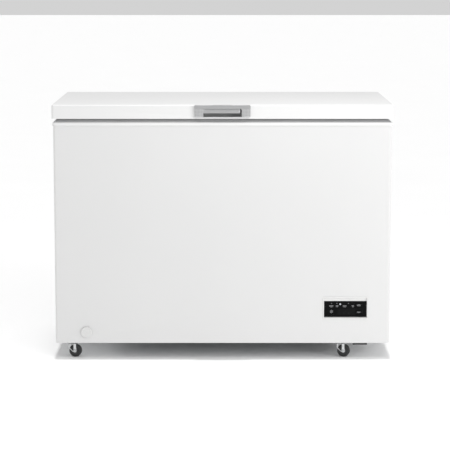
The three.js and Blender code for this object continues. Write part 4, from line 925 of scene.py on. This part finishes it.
# ------------------------------------------------------------------ casters
TRAIL, AXLE = 14.0, 21.0
for tag, (px, py, turn) in CASTERS.items():
    base = Matrix.Translation((px, py, 0))
    rot = base @ Matrix.Rotation(math.radians(turn), 4, "Z")
    # plate with four slots, and the pressed race under it
    slots4 = [rrect(sx * 14.5 - 3.2, sx * 14.5 + 3.2, sy * 14.5 - 2.1, sy * 14.5 + 2.1, 2.0, 4) for sx in (-1, 1) for sy in (-1, 1)]
    top = plate(rrect(-21, 21, -21, 21, 4, 5), 50, 52.2, "xy", slots4, e=0.4, k=2)
    top.add(lathe([(0, 45.65), (2.6, 45.65), (3.4, 46.0), (8, 46.1), (11.2, 46.3), (12.6, 47.0), (13.1, 48.2), (13.4, 49.4), (14.6, 50.1), (14.6, 50.4), (0, 50.4)], "z", (0, 0, 0), 36))
    piece("caster_top_" + tag, top.moved(base), M_ZINC, "cabinet", ("caster_plate_" + tag,), sharp=35)
    screws("caster_screws_" + tag, [((px + sx * 14.5, py + sy * 14.5, 50.05), (0, 0, -1)) for sx in (-1, 1) for sy in (-1, 1)], "cabinet", 0.72)
    # fork: a pressed crown with two legs, each with a triangular window
    # one narrow upright strut to the axle, and a thin brace from the crown to its foot
    leg = [(-7.4, 44.6), (-7.4, 34.6), (-6.6, 31.6), (-3.6, 27.6), (0.6, 23.4), (5.0, 19.4), (9.2, 16.4)] + arc(TRAIL, AXLE, 6.0, 222, 350, 10) + [(TRAIL + 5.0, 26.0), (TRAIL + 4.4, 33.0), (TRAIL + 4.2, 39.0), (TRAIL + 4.4, 44.6)]
    leg = ccw(leg)
    window = ccw([(-4.2, 43.0), (-4.4, 35.4), (-3.6, 32.0), (-1.2, 28.6), (2.8, 24.6), (6.6, 21.0), (8.6, 19.8), (9.2, 21.8), (9.6, 32.0), (9.6, 43.2), (-3.6, 43.4)])
    hole = circle(TRAIL, AXLE, 3.3, 20)
    fork = Mesh()
    for y0, y1 in ((-12.0, -10.4), (10.4, 12.0)):
        fork.add(plate(leg, y0, y1, "xz", [window, hole], e=0.45, k=2))
    crown_out = rrect(-10, TRAIL + 5.5, -12, 12, 5, 6)
    fork.add(plate(crown_out, 43.3, 45.2, "xy", [circle(0, 0, 2.7, 16)], e=0.7, k=3))
    fork.add(lathe([(0, 41.9), (2.4, 41.9), (3.6, 42.4), (4.4, 43.2), (4.4, 43.5), (2.5, 43.5), (2.5, 45.3), (0, 45.3)], "z", (0, 0, 0), 20))
    piece("caster_yoke_" + tag, fork.moved(rot), M_ZINC, "fork_" + tag, ("caster_fork_" + tag,), sharp=35)
    bolt = lathe([(0, -14.6), (2.2, -14.6), (2.8, -14.2), (2.8, 14.3), (2.2, 14.7), (0, 14.7)], "y", (TRAIL, 0, AXLE), 20)
    hexa = [(TRAIL + 5.0 * math.cos(math.radians(60 * k + 15)), AXLE + 5.0 * math.sin(math.radians(60 * k + 15))) for k in range(6)]
    bolt.add(plate(hexa, -14.9, -12.15, "xz", e=0.5, k=2))
    bolt.add(plate(hexa, 12.15, 14.6, "xz", e=0.5, k=2))
    piece("caster_bolt_" + tag, bolt.moved(rot), M_STEEL, "fork_" + tag, ("caster_axle_" + tag,), sharp=30)
    tyre = [(11.8, -8.1), (13.2, -8.6), (15.2, -8.9), (17.6, -8.7), (19.4, -8.0), (20.4, -6.8), (20.9, -5.0), (21.0, -2.2), (21.0, 2.2), (20.9, 5.0), (20.4, 6.8), (19.4, 8.0), (17.6, 8.7), (15.2, 8.9), (13.2, 8.6), (11.8, 8.1), (11.4, 6.6), (11.4, -6.6)]
    piece("caster_tyre_" + tag, lathe(tyre, "y", (TRAIL, 0, AXLE), 56, closed=True).moved(rot), M_TYRE, "wheel_" + tag, ("caster_wheel_" + tag,), sharp=40)
    hub = [(3.05, -9.6), (6.4, -9.6), (7.0, -9.2), (7.3, -7.2), (7.9, -6.6), (10.8, -6.9), (11.5, -7.4), (12.2, -7.6), (12.2, 7.6), (11.5, 7.4), (10.8, 6.9), (7.9, 6.6), (7.3, 7.2), (7.0, 9.2), (6.4, 9.6), (3.05, 9.6)]
    piece("caster_hub_" + tag, lathe(hub, "y", (TRAIL, 0, AXLE), 40, closed=True).moved(rot), M_HUB, "wheel_" + tag, slot="rubber", sharp=35)


# ------------------------------------------------------------------ stage
def stage_floor():
    m = Mesh()
    m.cap(m.ring([(-40000, -40000, 0), (40000, -40000, 0), (40000, 40000, 0), (-40000, 40000, 0)]))
    data = solidify_data("floor", m)
    obj = bpy.data.objects.new("floor", data)
    SCENE.collection.objects.link(obj)
    mat = shade("floor_pale", (0.97, 0.97, 0.97), 0.6, tint=0.004, tint_scale=1.5, rough_var=0.05, rough_scale=3.0, bumps=((40.0, 0.02, 0.0002),), specular=0.2)
    data.materials.append(mat)


stage_floor()
world = bpy.data.worlds.new("studio")
SCENE.world = world
world.use_nodes = True
world.node_tree.nodes["Background"].inputs["Color"].default_value = (1, 1, 1, 1)
world.node_tree.nodes["Background"].inputs["Strength"].default_value = 0.65


def area(name, loc, target, w, h, power):
    light = bpy.data.lights.new(name, "AREA")
    light.shape, light.size, light.size_y, light.energy = "RECTANGLE", w, h, power
    obj = bpy.data.objects.new(name, light)
    SCENE.collection.objects.link(obj)
    obj.location = loc
    obj.rotation_mode = "QUATERNION"
    obj.rotation_quaternion = (Vector(target) - Vector(loc)).to_track_quat("-Z", "Y")
    return obj


area("strip_top", (0.35, -1.05, 1.65), (0.1, -0.3, 0.7), 1.5, 0.3, 5.8)
area("key_right", (2.3, -1.9, 0.95), (0.3, -0.3, 0.75), 0.9, 0.9, 18.5)
area("under_left", (-0.45, -0.17, 0.050), (-0.45, -0.17, 0.0), 0.18, 0.26, 0.022)
area("under_right", (0.47, -0.17, 0.050), (0.47, -0.17, 0.0), 0.18, 0.26, 0.020)
sun = bpy.data.lights.new("overhead", "SUN")
sun.energy, sun.angle = 1.28, math.radians(0.9)
sun_obj = bpy.data.objects.new("overhead", sun)
SCENE.collection.objects.link(sun_obj)
sun_obj.rotation_mode = "QUATERNION"
sun_obj.rotation_quaternion = Vector((0.0, -0.015, -1)).to_track_quat("-Z", "Y")

cam_data = bpy.data.cameras.new("camera")
cam = bpy.data.objects.new("camera", cam_data)
SCENE.collection.objects.link(cam)
SCENE.camera = cam
cam_data.sensor_width = 36.0
cam_data.lens = 147.3
cam_data.clip_start, cam_data.clip_end = 0.1, 200.0
cam.location = (0.0081, -0.311 - 6.0, 1.3052)
cam.rotation_euler = (math.radians(90 - 8.119), 0, 0)

SCENE.view_settings.view_transform = "Standard"
SCENE.view_settings.look = "None"
SCENE.view_settings.exposure = 0.0
SCENE.view_settings.gamma = 1.0

# every CAD node that still shows gets a procedural finish
LEFT = {"white_plastic": M_PLASTIC, "foam": M_FOAM, "copper": M_COPPER, "zinc": M_ZINC, "steel": M_STEEL, "rubber": M_TYRE, "galvanised": M_GALV}
for n, o in NODES.items():
    if not o.hide_render:
        o.data.materials.clear()
        o.data.materials.append(LEFT.get(SLOT_OF[n], M_PLASTIC))
        print("CAD node still shown:", n)

bpy.context.view_layer.update()
